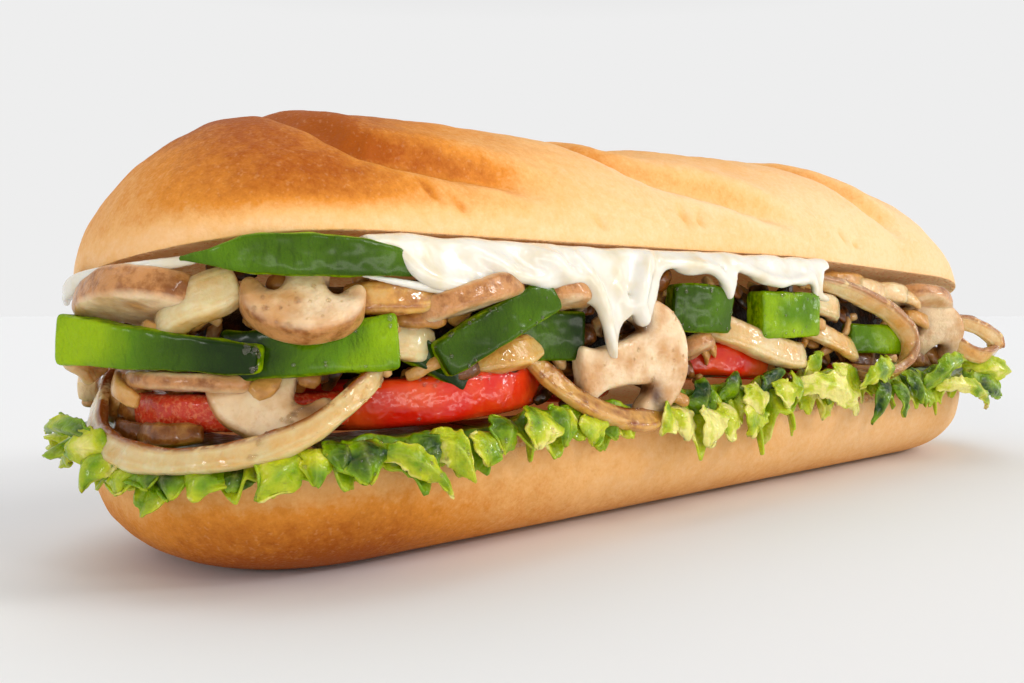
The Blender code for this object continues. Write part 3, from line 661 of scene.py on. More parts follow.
@dataclass(frozen=True)
class MushroomFinish(Finish):
    """Fried mushroom: beige faces, browned rims, grey-brown gills that carry painted shade as well as their own
    colour.
    """

    face: Colour = srgb(236, 208, 168)
    toast: Colour = srgb(204, 152, 96)
    skin: Colour = srgb(198, 140, 84)
    brown: Colour = srgb(142, 84, 34)
    gill: Colour = srgb(92, 56, 32)

    def draw(self, graph: Graph) -> bpy.types.Material:
        """Face, skin and gills by the painted masks."""
        cloud = graph.window(graph.noise(7, 3), 0.38, 0.70)
        colour = graph.blend(cloud, self.face, self.toast)
        speck = graph.math("MULTIPLY", graph.window(graph.noise(1.1, 3, 0.6), 0.5, 0.9), 0.6)
        colour = graph.blend(speck, colour, self.toast)
        skin = graph.blend(graph.window(graph.noise(3.0, 4, 0.65), 0.4, 0.7), self.skin, self.brown)
        colour = graph.blend(graph.painted("skin"), colour, skin)
        colour = graph.blend(graph.painted("gill"), colour, self.gill)
        relief = graph.bump(graph.noise(0.5, 3, 0.6), 0.12)
        relief = graph.bump(graph.noise(2.6, 3, 0.5), 0.6, relief)
        return graph.finish(
            Base_Color=colour, Roughness=0.34, Normal=relief, Specular_IOR_Level=0.2,
            Subsurface_Weight=0.4, Subsurface_Radius=(1.0, 0.6, 0.3), Subsurface_Scale=2.2 * MM,
            Coat_Weight=0.4, Coat_Roughness=0.14, Coat_Normal=graph.wet(2.6, 0.4),
        )


@dataclass(frozen=True)
class OnionFinish(Finish):
    """Fried onion: glassy cream with fine fibres along it and caramel edges."""

    clear: Colour = srgb(248, 226, 174)
    gold: Colour = srgb(234, 174, 84)
    caramel: Colour = srgb(144, 70, 8)

    def draw(self, graph: Graph) -> bpy.types.Material:
        """Cream to gold by the painted warmth, browned by the painted edge."""
        cloud = graph.swing(graph.noise(6, 3), 1.0)
        layers = graph.math("MULTIPLY", graph.painted("fibre"), 0.20)
        tone = graph.total(graph.painted("warm"), cloud, layers, graph.swing(graph.noise(1.4, 3, 0.6), 0.4))
        colour = graph.ramp(tone, (0.0, self.clear), (0.62, self.gold), (1.0, self.caramel))
        char = graph.math("MULTIPLY", graph.painted("edge"), graph.window(graph.noise(3.2, 3, 0.6), 0.30, 0.52))
        colour = graph.blend(char, colour, self.caramel)
        relief = graph.bump(graph.painted("fibre"), 0.07)
        relief = graph.bump(graph.noise(2.0, 3, 0.55), 0.5, relief)
        return graph.finish(
            Base_Color=colour, Roughness=0.24, Normal=relief, Specular_IOR_Level=0.3,
            Subsurface_Weight=0.6, Subsurface_Radius=(1.0, 0.66, 0.34), Subsurface_Scale=4 * MM,
            Transmission_Weight=0.2, IOR=1.38, Coat_Weight=0.8, Coat_Roughness=0.09,
            Coat_Normal=graph.wet(2.4, 0.4),
        )


@dataclass(frozen=True)
class CheeseFinish(Finish):
    """Melted white cheese: smooth, milky and shining."""

    milk: Colour = srgb(228, 223, 211)
    butter: Colour = srgb(216, 204, 176)

    def draw(self, graph: Graph) -> bpy.types.Material:
        """Nearly one tone, a little yellower in clouds."""
        colour = graph.blend(graph.window(graph.noise(7, 2), 0.4, 0.75), self.milk, self.butter)
        relief = graph.bump(graph.noise(3, 2), 0.2)
        return graph.finish(
            Base_Color=colour, Roughness=0.25, Normal=relief, Specular_IOR_Level=0.3,
            Subsurface_Weight=0.5, Subsurface_Radius=(1.0, 0.8, 0.5), Subsurface_Scale=2.4 * MM,
            Coat_Weight=0.4, Coat_Roughness=0.12,
        )


@dataclass(frozen=True)
class SauteAndShadeFinish(Finish):
    """The dark, juicy trimmings deep in the filling, near black as painted shade for the gaps between the pieces."""

    dark: Colour = srgb(26, 14, 4)
    brown: Colour = srgb(96, 56, 20)

    def draw(self, graph: Graph) -> bpy.types.Material:
        """Near-black brown as painted shade, with lighter lumps."""
        lumps = graph.window(graph.noise(4.5, 4, 0.6), 0.48, 0.72)
        colour = graph.blend(lumps, self.dark, self.brown)
        relief = graph.bump(graph.noise(2.0, 4, 0.6), 0.9)
        return graph.finish(
            Base_Color=colour, Roughness=0.35, Normal=relief, Specular_IOR_Level=0.15,
            Subsurface_Weight=0.1, Subsurface_Radius=(1.0, 0.5, 0.2), Subsurface_Scale=2 * MM,
        )


@dataclass(frozen=True)
class TrimmingsFinish(Finish):
    """Fried bits, from nearly black through caramel to onion gold by their painted tone."""

    burnt: Colour = srgb(30, 16, 6)
    caramel: Colour = srgb(132, 74, 20)
    gold: Colour = srgb(206, 150, 74)
    pale: Colour = srgb(228, 196, 144)

    def draw(self, graph: Graph) -> bpy.types.Material:
        """One tone a bit, clouded."""
        tone = graph.total(graph.painted("tone"), graph.swing(graph.noise(3.0, 3, 0.6), 0.6))
        colour = graph.ramp(tone, (0.0, self.burnt), (0.3, self.caramel), (0.62, self.gold), (1.0, self.pale))
        relief = graph.bump(graph.noise(1.5, 3, 0.6), 0.4)
        return graph.finish(
            Base_Color=colour, Roughness=0.3, Normal=relief, Specular_IOR_Level=0.22,
            Subsurface_Weight=0.4, Subsurface_Radius=(1.0, 0.6, 0.3), Subsurface_Scale=2 * MM,
            Coat_Weight=0.5, Coat_Roughness=0.12, Coat_Normal=graph.wet(1.8, 0.4),
        )


@dataclass(frozen=True)
class JuiceFinish(Finish):
    """Clear drops of oil and juice."""

    tint: Colour = srgb(255, 246, 222)

    def draw(self, graph: Graph) -> bpy.types.Material:
        """Clear, with a faint warm tint."""
        relief = graph.bump(graph.noise(1.5, 1), 0.05)
        return graph.finish(
            Base_Color=self.tint, Roughness=0.05, Normal=relief, IOR=1.38, Transmission_Weight=0.95,
        )


@dataclass(frozen=True)
class FloorFinish(Finish):
    """A plain pale floor."""

    colour: Colour = (0.875, 0.880, 0.888)

    def draw(self, graph: Graph) -> bpy.types.Material:
        """Matt, one tone."""
        return graph.finish(Base_Color=self.colour, Roughness=1.0, Specular_IOR_Level=0.0)


def serve(shape: Shape, name: str, slot: Slot, *finishes: Finish) -> bpy.types.Object:
    """Makes a piece's object, rides it on the sandwich, and lets it stand for the solid of its name.

    Args:
        shape: the piece's surface.
        name: its name, which is its solid's name where it has one.
        slot: the kind of food; not used.
        finishes: its finishes, in the order of the shape's material numbers.

    Returns:
        The object.
    """
    has_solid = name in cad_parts
    obj = shape.object_named(name + LOOK * has_solid, *(finish.material() for finish in finishes))
    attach(obj, "root")
    if has_solid:
        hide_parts(name)
    LOG.info("%s: %d points, %d faces", obj.name, len(shape.points), len(shape.faces))
    return obj


@dataclass
class Half:
    """What the two halves of the roll share: a half-round loaf with rounded ends and one flat cut face."""

    half_length: float
    ends: tuple[float, float]
    rings: int
    arcs: int
    flats: int
    half_width: float = 38 * MM
    end_power: float = 2.3
    cut_relief: float = 0.5 * MM
    crumb_bake: float = 0.3
    tip_bake: float = 0.4
    grain: Grain = field(default_factory=lambda: Grain(3))

    def stations(self) -> np.ndarray:
        """Places along the half from -1 to 1, closer together at the ends, as a column."""
        even = np.cos(math.pi * np.arange(1, self.rings) / self.rings)
        even = 1 - 2 * np.arccos(np.clip(even, -1, 1)) / math.pi
        return (0.5 * even + 0.5 * np.sin(math.pi / 2 * even))[::-1][:, None]

    def widths(self, place: np.ndarray) -> tuple[np.ndarray, np.ndarray]:
        """How far each place is into the rounded end, and the half width there."""
        end = np.where(place < 0, *self.ends)
        share = np.maximum(0, np.abs(place) * self.half_length - (self.half_length - end)) / end
        return share, self.half_width * np.maximum(0, 1 - share**self.end_power) ** (1 / self.end_power)

    def offness(self, share: np.ndarray, y: np.ndarray) -> np.ndarray:
        """How near the outline a point is, 0 in the middle and 1 on the outline."""
        off = (share**self.end_power + (np.abs(y) / self.half_width) ** self.end_power) ** (1 / self.end_power)
        return np.minimum(1, off)

    def with_crumb(self, bake: np.ndarray) -> np.ndarray:
        """The crust's painted bake and shade with an even value for the crumb and for the two tips, in the order of
        the points.
        """
        rows = np.concatenate([bake, np.full((len(bake), self.flats - 1), self.crumb_bake)], axis=1)
        return np.append(rows.ravel(), [self.tip_bake] * 2)

    def loaf(self, round_side: np.ndarray, flat_side: np.ndarray, tips: np.ndarray) -> Shape:
        """Joins the round side and the flat one into a closed surface, with crust and crumb told apart."""
        rings = np.concatenate([round_side, flat_side[:, 1:-1]], axis=1)
        shape = Shape.tube(rings, tips)
        around = rings.shape[1]
        column = shape.faces[:, :2] % around
        on_flat = (column >= self.arcs).any(1) | ((column == 0).any(1) & (column == around - 1).any(1))
        pole = shape.faces[:, 0] >= rings.shape[0] * around
        shape.material_of = (on_flat & ~pole).astype(int)
        return shape


@dataclass
class TopHalf(Half):
    """The slashed upper half, tipped back a little on its filling."""

    half_length: float = 145 * MM
    ends: tuple[float, float] = (42 * MM, 54 * MM)
    rings: int = 360
    arcs: int = 200
    flats: int = 44
    height: float = 34.7 * MM
    dome_power: float = 1.86
    shift: float = -2 * MM
    cut_z: float = 63 * MM
    tilt: float = math.radians(8)
    end_from: float = 0.7
    end_drop: float = 0.085
    right_drop: float = 0.42
    sag: float = 2.6 * MM
    droop: tuple[float, float] = (20 * MM, 0.045)
    swells: tuple[Place, ...] = ((-107, 12, -1.6), (-24, 11, -2.0), (66, 46, 5.4))
    slashes: tuple[tuple[tuple[float, float], ...], ...] = (
        ((-121, 100), (-114, 78), (-109, 55), (-103, 37), (-88, 30), (-74, 26.5), (-62, 19.5)),
        ((-49, 98), (-42, 74), (-35, 52), (-21, 38), (-4, 31), (13, 23), (29, 15.5)),
        ((36, 98), (46, 78), (57, 60), (68, 43), (77, 31), (85, 24)),
    )
    creases: tuple[tuple[tuple[float, float], ...], ...] = (
        ((-94.5, 22), (-93, 17), (-91.5, 13)), ((-88.5, 16), (-87, 12), (-86.5, 8.5)),
        ((-20, 22), (-20.6, 17), (-20, 12)), ((-14.5, 20), (-15.5, 15), (-15, 12)),
        ((46, 21), (47, 16), (49, 11)), ((51, 14), (53, 12), (54.5, 12)), ((-52, 14), (-50, 9), (-49, 6)),
    )
    slash_depth: float = 3.2 * MM
    slash_width: float = 3.6 * MM
    lip: float = 1.2 * MM
    # How each slash map moves the painted bake: far walls and creases darker as painted shade, near walls lighter,
    # lips a touch browner.
    slash_bake_and_shade: dict[str, float] = field(default_factory=lambda: {
        "far": 0.24, "near": -0.14, "lip": 0.02, "crease": 0.26,
    })
    crease_depth: float = 0.9 * MM
    crease_width: float = 1.1 * MM

    def near_line(self, x: np.ndarray, arc: np.ndarray, places: tuple[tuple[float, float], ...]
                  ) -> tuple[np.ndarray, np.ndarray]:
        """How far across a line each point lies, positive beyond it, and how far along it, from 0 to 1."""
        line = smooth_line(places, 15) * MM
        line[:, 1] = np.radians(line[:, 1] / MM) * self.half_width
        best, side, along = np.full_like(arc + x, 1.0), np.zeros_like(arc + x), np.zeros_like(arc + x)
        for i in range(len(line) - 1):
            (x0, a0), (x1, a1) = line[i], line[i + 1]
            dx, da = x1 - x0, a1 - a0
            part = np.clip(((x - x0) * dx + (arc - a0) * da) / (dx * dx + da * da), 0, 1)
            away = np.hypot(x - x0 - dx * part, arc - a0 - da * part)
            nearer = away < best
            best = np.where(nearer, away, best)
            side = np.where(nearer, dx * (arc - a0) - da * (x - x0), side)
            along = np.where(nearer, (i + part) / (len(line) - 1), along)
        return np.copysign(best, side), along

    def slash_maps(self, x: np.ndarray, angle: np.ndarray) -> dict[str, np.ndarray]:
        """How far each point is in a slash, on its lip, on its far or near wall, or in a crease, 0 to 1."""
        arc = angle * self.half_width
        maps = {name: np.zeros_like(arc + x) for name in ("deep", "lip", "far", "near", "crease")}
        for places in self.slashes:
            across, along = self.near_line(x, arc, places)
            fade = np.minimum(1, np.minimum(3.0 * along + 0.1, 5 * (1 - along)))
            spots = {"deep": (0, 1), "lip": (2.0, 1.5), "far": (0.7, 0.8), "near": (-1.3, 0.9)}
            for name, (middle, spread) in spots.items():
                wide = self.slash_width
                maps[name] = np.maximum(maps[name], fade * bell(across, middle * wide, spread * wide))
        for places in self.creases:
            across, along = self.near_line(x, arc, places)
            fade = np.sin(math.pi * np.clip(0.08 + 0.84 * along, 0, 1))
            maps["crease"] = np.maximum(maps["crease"], fade * bell(across, 0, self.crease_width))
        return maps

    def build(self) -> Shape:
        """The dome with its slashes and skin relief, and the crumb face below it."""
        place = self.stations()
        share, half = self.widths(place)
        angle = np.linspace(0, math.pi, self.arcs + 1)[None, :]
        x, y = place * self.half_length + 0 * angle, -half * np.cos(angle)
        right = (np.maximum(0, place - self.end_from) / (1 - self.end_from)) ** 2
        sag = -self.sag * (np.maximum(0, np.abs(place) - self.end_from) / (1 - self.end_from)) ** 2
        sag = sag - self.droop[1] * np.maximum(0, place * self.half_length - self.droop[0])
        z = self.height * (1 - self.offness(share, y) ** self.dome_power) ** (1 / self.dome_power)
        z = z * (1 - self.end_drop * np.abs(place) - self.right_drop * right)
        points = np.stack([x, y, z + sag], -1)
        maps = self.slash_maps(x, angle + 0 * x)
        flat = points.reshape(-1, 3)
        relief = self.lip * maps["lip"] - self.slash_depth * maps["deep"] - self.crease_depth * maps["crease"]
        crown = z / self.height
        for middle, spread, height in self.swells:
            relief += height * MM * bell(x, middle * MM, spread * MM) * crown
        swell = 0.8 * MM * self.grain.at(flat, (45 * MM, 25 * MM, 25 * MM))
        fine = self.grain.rough(flat, 7 * MM) * (0.35 + 0.6 * maps["deep"].ravel()) * MM
        relief = relief + (swell + fine).reshape(x.shape)
        away = unit(np.stack([0.3 * x / self.half_length, y / self.half_width, 0.35 + z / self.height], -1))
        points = points + away * (relief * np.minimum(1, z / (6 * MM)))[..., None]
        crumb = np.linspace(1, -1, self.flats + 1)[None, :] * half
        under = np.stack([place * self.half_length + 0 * crumb, crumb, sag + 0 * crumb], -1)
        dimple = self.cut_relief * self.grain.rough(under.reshape(-1, 3), 4 * MM).reshape(crumb.shape)
        under[..., 2] += np.abs(dimple) * np.minimum(1, (half - np.abs(crumb)) / (2 * MM))
        low = self.sag + self.droop[1] * (self.half_length - self.droop[0])
        tips = np.array([[-self.half_length, 0, -self.sag], [self.half_length, 0, -low]])
        shape = self.loaf(points, under, tips)
        # Painted bake and shade: browner on the crown; a brown patch on the left shoulder, part baked colour and part
        # painted shade away from the light; the slash and crease terms add painted shade in the hollows; a little
        # darker along the dome's lower rim; paler to the right.
        bake = 0.14 + 0.24 * step(crown, 0.45, 1.0) - 0.10 * step(x, -20 * MM, 60 * MM)
        bake += 0.58 * bell(x, -122 * MM, 24 * MM) * step(crown, 0.02, 0.22) * step(crown, 1.15, 0.75)
        bake += 0.44 * bell(x, -92 * MM, 36 * MM) * step(crown, 0.0, 0.36)
        for name, amount in self.slash_bake_and_shade.items():
            bake += amount * maps[name]
        bake += 0.10 * bell(z, 0, 1.2 * MM)
        shape.paint["bake"] = self.with_crumb(bake)
        lift = Matrix.Translation((self.shift, -self.half_width, self.cut_z)) @ Matrix.Rotation(-self.tilt, 4, "X")
        return shape.moved(np.array(lift @ Matrix.Translation((0, self.half_width, 0))))

    def dress(self) -> None:
        """Serves the half with its crust and crumb."""
        serve(self.build(), "bread_top", Slot.CRUST, CrustFinish(), CrumbFinish())


@dataclass
class BottomHalf(Half):
    """The lower half: the cut face on top, round sides with faint folds, a flat sole."""

    half_length: float = 144 * MM
    ends: tuple[float, float] = (42 * MM, 42 * MM)
    rings: int = 300
    arcs: int = 130
    flats: int = 40
    depth: float = 25.5 * MM
    cut_z: float = 24 * MM
    sole_power: float = 2.9
    fold: float = 0.35 * MM

    def build(self) -> Shape:
        """The rounded trough of crust and the crumb face on it."""
        place = self.stations()
        share, half = self.widths(place)
        angle = np.linspace(0, math.pi, self.arcs + 1)[None, :]
        x, y = place * self.half_length + 0 * angle, half * np.cos(angle)
        off = self.offness(share, y)
        drop = self.depth * (1 - off**self.sole_power) ** (1 / self.sole_power)
        wall = np.minimum(1, drop / (6 * MM)) * step(self.cut_z - drop, -3 * MM, 4 * MM)
        points = np.stack([x, y, np.maximum(0, self.cut_z - drop)], -1)
        flat = points.reshape(-1, 3)
        folds = self.grain.rough(flat, 9 * MM) * self.fold
        upright = self.grain.at(flat, (3.2 * MM, 30 * MM, 26 * MM)) * bell(flat[:, 0], -72 * MM, 34 * MM)
        folds += 1.6 * self.fold * upright
        away = unit(np.stack([x * share, y + 0 * x, 0 * x], -1) + 1e-9)
        points = points + away * (folds.reshape(x.shape) * wall)[..., None]
        crumb = np.linspace(-1, 1, self.flats + 1)[None, :] * half
        top = np.stack([place * self.half_length + 0 * crumb, crumb, self.cut_z + 0 * crumb], -1)
        tips = np.array([[-self.half_length, 0, self.cut_z], [self.half_length, 0, self.cut_z]])
        shape = self.loaf(points, top, tips)
        z = points[..., 2]
        # Painted bake and shade: browner low on the left end and darker towards the sole, part baked colour and part
        # painted shade on the underside and the left end away from the light; paler to the right.
        bake = 0.32 + 0.58 * bell(x, -116 * MM, 36 * MM) * step(z, 22 * MM, 9 * MM)
        bake += 0.18 * step(z, 10 * MM, 2 * MM) - 0.10 * step(x, -60 * MM, 60 * MM)
        shape.paint["bake"] = self.with_crumb(bake)
        return shape

    def dress(self) -> None:
        """Serves the half with its crust and crumb."""
        serve(self.build(), "bread_bottom", Slot.CRUST, CrustFinish(), CrumbFinish())


@dataclass(frozen=True)
class Strip:
    """A pepper strip: its place, turn in degrees, length, height and thickness in mm, bow, arch, taper, how far its
    left end is cut to a point, and how much painted light brightens its skin at the left and at the right."""

    name: str
    at: Place
    turn: Place
    size: Place
    bow: float
    arch: float
    taper: float
    point: float = 0.0
    lit: tuple[float, float] = (0.0, 0.0)


@dataclass
class Peppers:
    """Strips and blocks of green pepper."""

    strips: tuple[Strip, ...] = (
        Strip("pepper_strip_top_left", (-119.5, 57.2, -3.4), (-1, 2, 4), (40, 4.8, 4.5), 5.4, 2.9, 0.75,
              0.85, (0.3, 0.2)),
        Strip("pepper_strip_left", (-146, 42.4, 1.0), (-5, 13, 0), (35, 8.8, 4.6), 1.4, 0, 0.55, 0, (0.9, 0)),
        Strip("pepper_strip_inner_left", (-119.5, 42.2, -3.2), (5, -14, -8), (27, 8.8, 4.8), 2.0, -0.8, 1.1,
              0, (0, 0.8)),
        Strip("pepper_strip_centre", (-82.5, 46.0, 1.2), (27, -6, -6), (27, 7.2, 4.2), 0.6, 0.4, 1.0,
              0, (0.1, 0.3)),
        Strip("pepper_bit_low", (-94, 39.0, -3.0), (-30, -4, 0), (13, 5.5, 4.0), 0.3, 0, 0.9),
        Strip("pepper_block_centre", (-67, 43.8, -3.0), (-2, -10, 4), (16, 10.4, 5.0), 0.4, 0, 1.0),
        Strip("pepper_block_cheese", (-20.5, 49.0, -0.6), (-3, -6, 4), (16.5, 11.0, 5.2), 1.2, 0.8, 0.95,
              0, (0.1, 0.35)),
        Strip("pepper_block_bright", (12.5, 47.6, 1.0), (1, -4, 0), (21, 12.5, 6.0), 0.3, 0, 0.92, 0, (0.6, 0.9)),
        Strip("pepper_block_right", (61, 40.3, -1.5), (-2, -14, 0), (19, 8.6, 5.0), 0.4, 0, 1.0, 0, (0.3, 0.8)),
        Strip("pepper_strip_back_left", (-262, 44.0, 0.5), (6, 0, 0), (40, 8.0, 4.6), 1.2, 0.5, 0.8),
        Strip("pepper_strip_back_middle", (308, 42.6, 1.2), (-9, 0, 0), (38, 8.0, 4.4), 1.0, 0, 0.8),
        Strip("pepper_block_back_right", (228, 43.2, 0.0), (8, 0, 0), (20, 9.5, 5.0), 0.8, 0, 1.0),
    )
    pitch: float = 0.55 * MM
    skin_side: float = -0.55
    inner_side: float = 0.75
    wobble: float = 0.5 * MM

    def build(self, strip: Strip, grain: Grain) -> Shape:
        """One strip: the skin bows outwards, the cut edges are flat, the inner side is uneven."""
        length, height, thick = (value * MM for value in strip.size)
        u = np.linspace(-1, 1, max(12, round(length / self.pitch)))
        crown = 1 - u * u
        narrow = (1 - (1 - strip.taper) * (u + 1) / 2) * (1 - strip.point * step(-u, 0.45, 1.0))
        arch = strip.arch * MM * crown
        middle = np.stack([u * length / 2, -strip.bow * MM * crown, arch / 2], -1)
        ahead = unit(np.gradient(middle, axis=0))
        wide = np.tile([0.0, 0.0, 1.0], (len(u), 1))
        inward = unit(np.cross(wide, ahead))
        flat = np.full(len(u), thick)
        shape = Ribbon(middle, wide, inward, height * narrow + arch, flat, power=6.5).shape(44)
        through, cap = shape.paint["through"], shape.paint["cap"]
        across = np.abs(shape.paint["across"])
        shape.paint["inner"] = step(through, self.inner_side, 1.0) * (1 - cap)
        shape.paint["cut"] = np.maximum(step(across, 0.86, 0.98), cap) * step(through, -0.98, self.skin_side)
        place = shape.paint["along"] / length
        # Painted light: the skin brightens from the left end's value to the right end's, with a little noise.
        lit = strip.lit[0] + (strip.lit[1] - strip.lit[0]) * step(place, 0.05, 0.95)
        shape.paint["lit"] = np.clip(lit * (0.9 + 0.5 * grain.at(shape.points, 7 * MM)), 0, 1)
        lumps = grain.at(shape.points + length, 6 * MM) + 0.4 * grain.at(shape.points, 2.5 * MM)
        return shape.pushed(self.wobble * lumps * (1 + shape.paint["inner"]))

    def dress(self) -> None:
        """Serves every strip."""
        for number, strip in enumerate(self.strips):
            shape = self.build(strip, Grain(40 + number)).moved(OUTLINE.stand(strip.at, strip.turn))
            serve(shape, strip.name, Slot.PEPPER, PepperFinish())


@dataclass(frozen=True)
class Slice:
    """A mushroom slice: its place and turn, the cap's width and height, the stem's width and length, thickness."""

    name: str
    at: Place
    turn: Place
    width: float
    cap: float
    stem: tuple[float, float]
    thick: float
    shade: float = 0.7


@dataclass
class Mushrooms:
    """Slices of mushroom, cut down the middle."""

    slices: tuple[Slice, ...] = (
        Slice("mushroom_left_end", (-152, 50.2, -0.6), (8, 6, 66), 27, 12, (9, 7), 6.0),
        Slice("mushroom_upper", (-121.5, 49.6, 0.5), (176, -4, 40), 21, 9.5, (8, 4), 5.8, 0.4),
        Slice("mushroom_under_cheese", (-89, 50.8, -1.0), (15, -4, 76), 28, 12, (8, 5), 5.0),
        Slice("mushroom_small_centre", (-64.5, 51.6, -0.5), (-2, 0, 70), 16, 9, (6, 4), 4.8),
        Slice("mushroom_lower_left", (-128, 33.6, -3.4), (158, -10, 28), 23, 10, (8, 5), 4.6),
        Slice("mushroom_thin_left", (-144, 36.6, -3.6), (-1, 4, 84), 26, 11, (7, 4), 3.2),
        Slice("mushroom_large_centre", (-45, 38.0, 1.8), (-80, -12, -6), 26, 14.0, (11, 16), 4.8, 1.0),
        Slice("mushroom_curl", (-20.0, 40.2, -2.0), (14, -8, 60), 11, 6, (5, 3), 4.2),
        Slice("mushroom_right_end", (95, 42.6, 0.4), (-40, -14, 22), 24, 12, (8, 6), 5.0),
        Slice("mushroom_upper_right", (88, 51.0, -0.5), (-12, -10, 62), 26, 11, (8, 5), 4.6),
        Slice("mushroom_bit_left_end", (-182, 35.4, 1.6), (60, 0, 0), 12, 6, (5, 3), 4.0),
        Slice("mushroom_back_left", (-300, 43.8, 0.5), (12, 0, 12), 24, 12, (8, 6), 5.0),
        Slice("mushroom_back_right", (268, 43.6, 0.4), (-164, 0, -10), 24, 12, (8, 6), 5.0),
    )
    voxel: float = 0.42 * MM
    outline_points: int = 260
    wobble: float = 0.45 * MM

    @staticmethod
    def outline(piece: Slice) -> np.ndarray:
        """The outline of the slice in mm: the cap's arc, the curled rims and the stem."""
        half, cap = piece.width / 2, piece.cap
        stem_half, stem_length = piece.stem[0] / 2, piece.stem[1]
        angle = np.radians(-12 + 204 * np.arange(7) / 6)
        arc = np.stack([half * np.cos(angle), cap * (0.15 + 0.85 * np.sin(angle))], -1)
        left = [(-half * 0.80, -cap * 0.16), (-half * 0.55, cap * 0.10), (-stem_half * 1.05, cap * 0.06)]
        left += [(-stem_half * 0.82, -stem_length * 0.6), (-stem_half, -stem_length)]
        right = [(-x, y) for x, y in reversed(left)]
        return np.concatenate([arc, left, right])

    def build(self, piece: Slice, grain: Grain) -> Shape:
        """One slice, rounded at its edges, with its gills and skin painted."""
        loop = smooth_line(self.outline(piece), self.outline_points, closed=True)
        edge = np.roll(loop, -1, axis=0) - np.roll(loop, 1, axis=0)
        outward = unit(np.stack([edge[:, 1], -edge[:, 0]], -1))
        half_thick = piece.thick / 2
        fillet = min(1.4, half_thick * 0.8)
        rings = []
        for angle in range(-90, 91, 15):
            inset = fillet * (1 - math.cos(math.radians(angle)))
            depth = math.copysign(half_thick - fillet, angle) + fillet * math.sin(math.radians(angle))
            flat = loop - outward * inset
            rings.append(np.concatenate([flat, np.full((len(flat), 1), depth)], 1))
        middle = np.array([0, piece.cap * 0.35])
        first, last = rings[0].copy(), rings[-1].copy()
        for ring in (first, last):
            ring[:, :2] = (middle + ring[:, :2]) / 2
        rings = np.array([first, *rings, last])
        poles = np.array([[*middle, -half_thick], [*middle, half_thick]])
        shape = Shape.fused([Shape.tube(rings * MM, poles * MM)], self.voxel).smoothed(4)
        x, y, depth = (shape.points[:, i] / MM for i in range(3))
        away = np.sqrt(((shape.points[:, None, :2] / MM - loop[None]) ** 2).sum(-1)).min(1)
        half, cap = piece.width / 2, piece.cap
        on_face = step(np.abs(depth), half_thick - 1.2, half_thick - 0.3)
        above = step(y, -0.02 * cap, 0.12 * cap)
        shape.paint["skin"] = above * (1 - step(away, 0.3, 1.3)) * (1 - 0.6 * on_face)
        # Dark gill patches either side of the stem, scaled by shade: part the gills' own colour, part painted shade
        # in their hollow.
        gill = 0
        for side in (-1, 1):
            middle_x = side * (piece.stem[0] / 2 + half * 0.9) / 2
            spot = np.exp(-(((x - middle_x) / (0.24 * half)) ** 2) - ((y - 0.16 * cap) / (0.15 * cap)) ** 2)
            gill = gill + spot
        shape.paint["gill"] = np.clip(gill * piece.shade, 0, 1)
        comb = np.sin(math.tau * (x + 0.4 * y) / 0.75) * np.clip(gill, 0, 1)
        relief = self.wobble * (grain.at(shape.points, 7 * MM) + 0.4 * grain.at(shape.points, 2.6 * MM))
        relief -= (0.35 * np.clip(gill, 0, 1) + 0.10 * comb) * MM * on_face
        shape.pushed(relief)
        lift = (piece.cap - piece.stem[1]) / 2 * MM
        shape.points = np.stack([shape.points[:, 0], -shape.points[:, 2], shape.points[:, 1] - lift], -1)
        return shape

    def dress(self) -> None:
        """Serves every slice."""
        for number, piece in enumerate(self.slices):
            shape = self.build(piece, Grain(60 + number)).moved(OUTLINE.stand(piece.at, piece.turn))
            serve(shape, piece.name, Slot.MUSHROOM, MushroomFinish())


@dataclass(frozen=True)
class Band:
    """A band of onion: its route of (s, z, out), width, thickness, lean in degrees, warmth and browned edge."""

    name: str
    route: tuple[Place, ...]
    width: float
    thick: float
    lean: float
    warm: float = 0.2
    char: float = 0.6


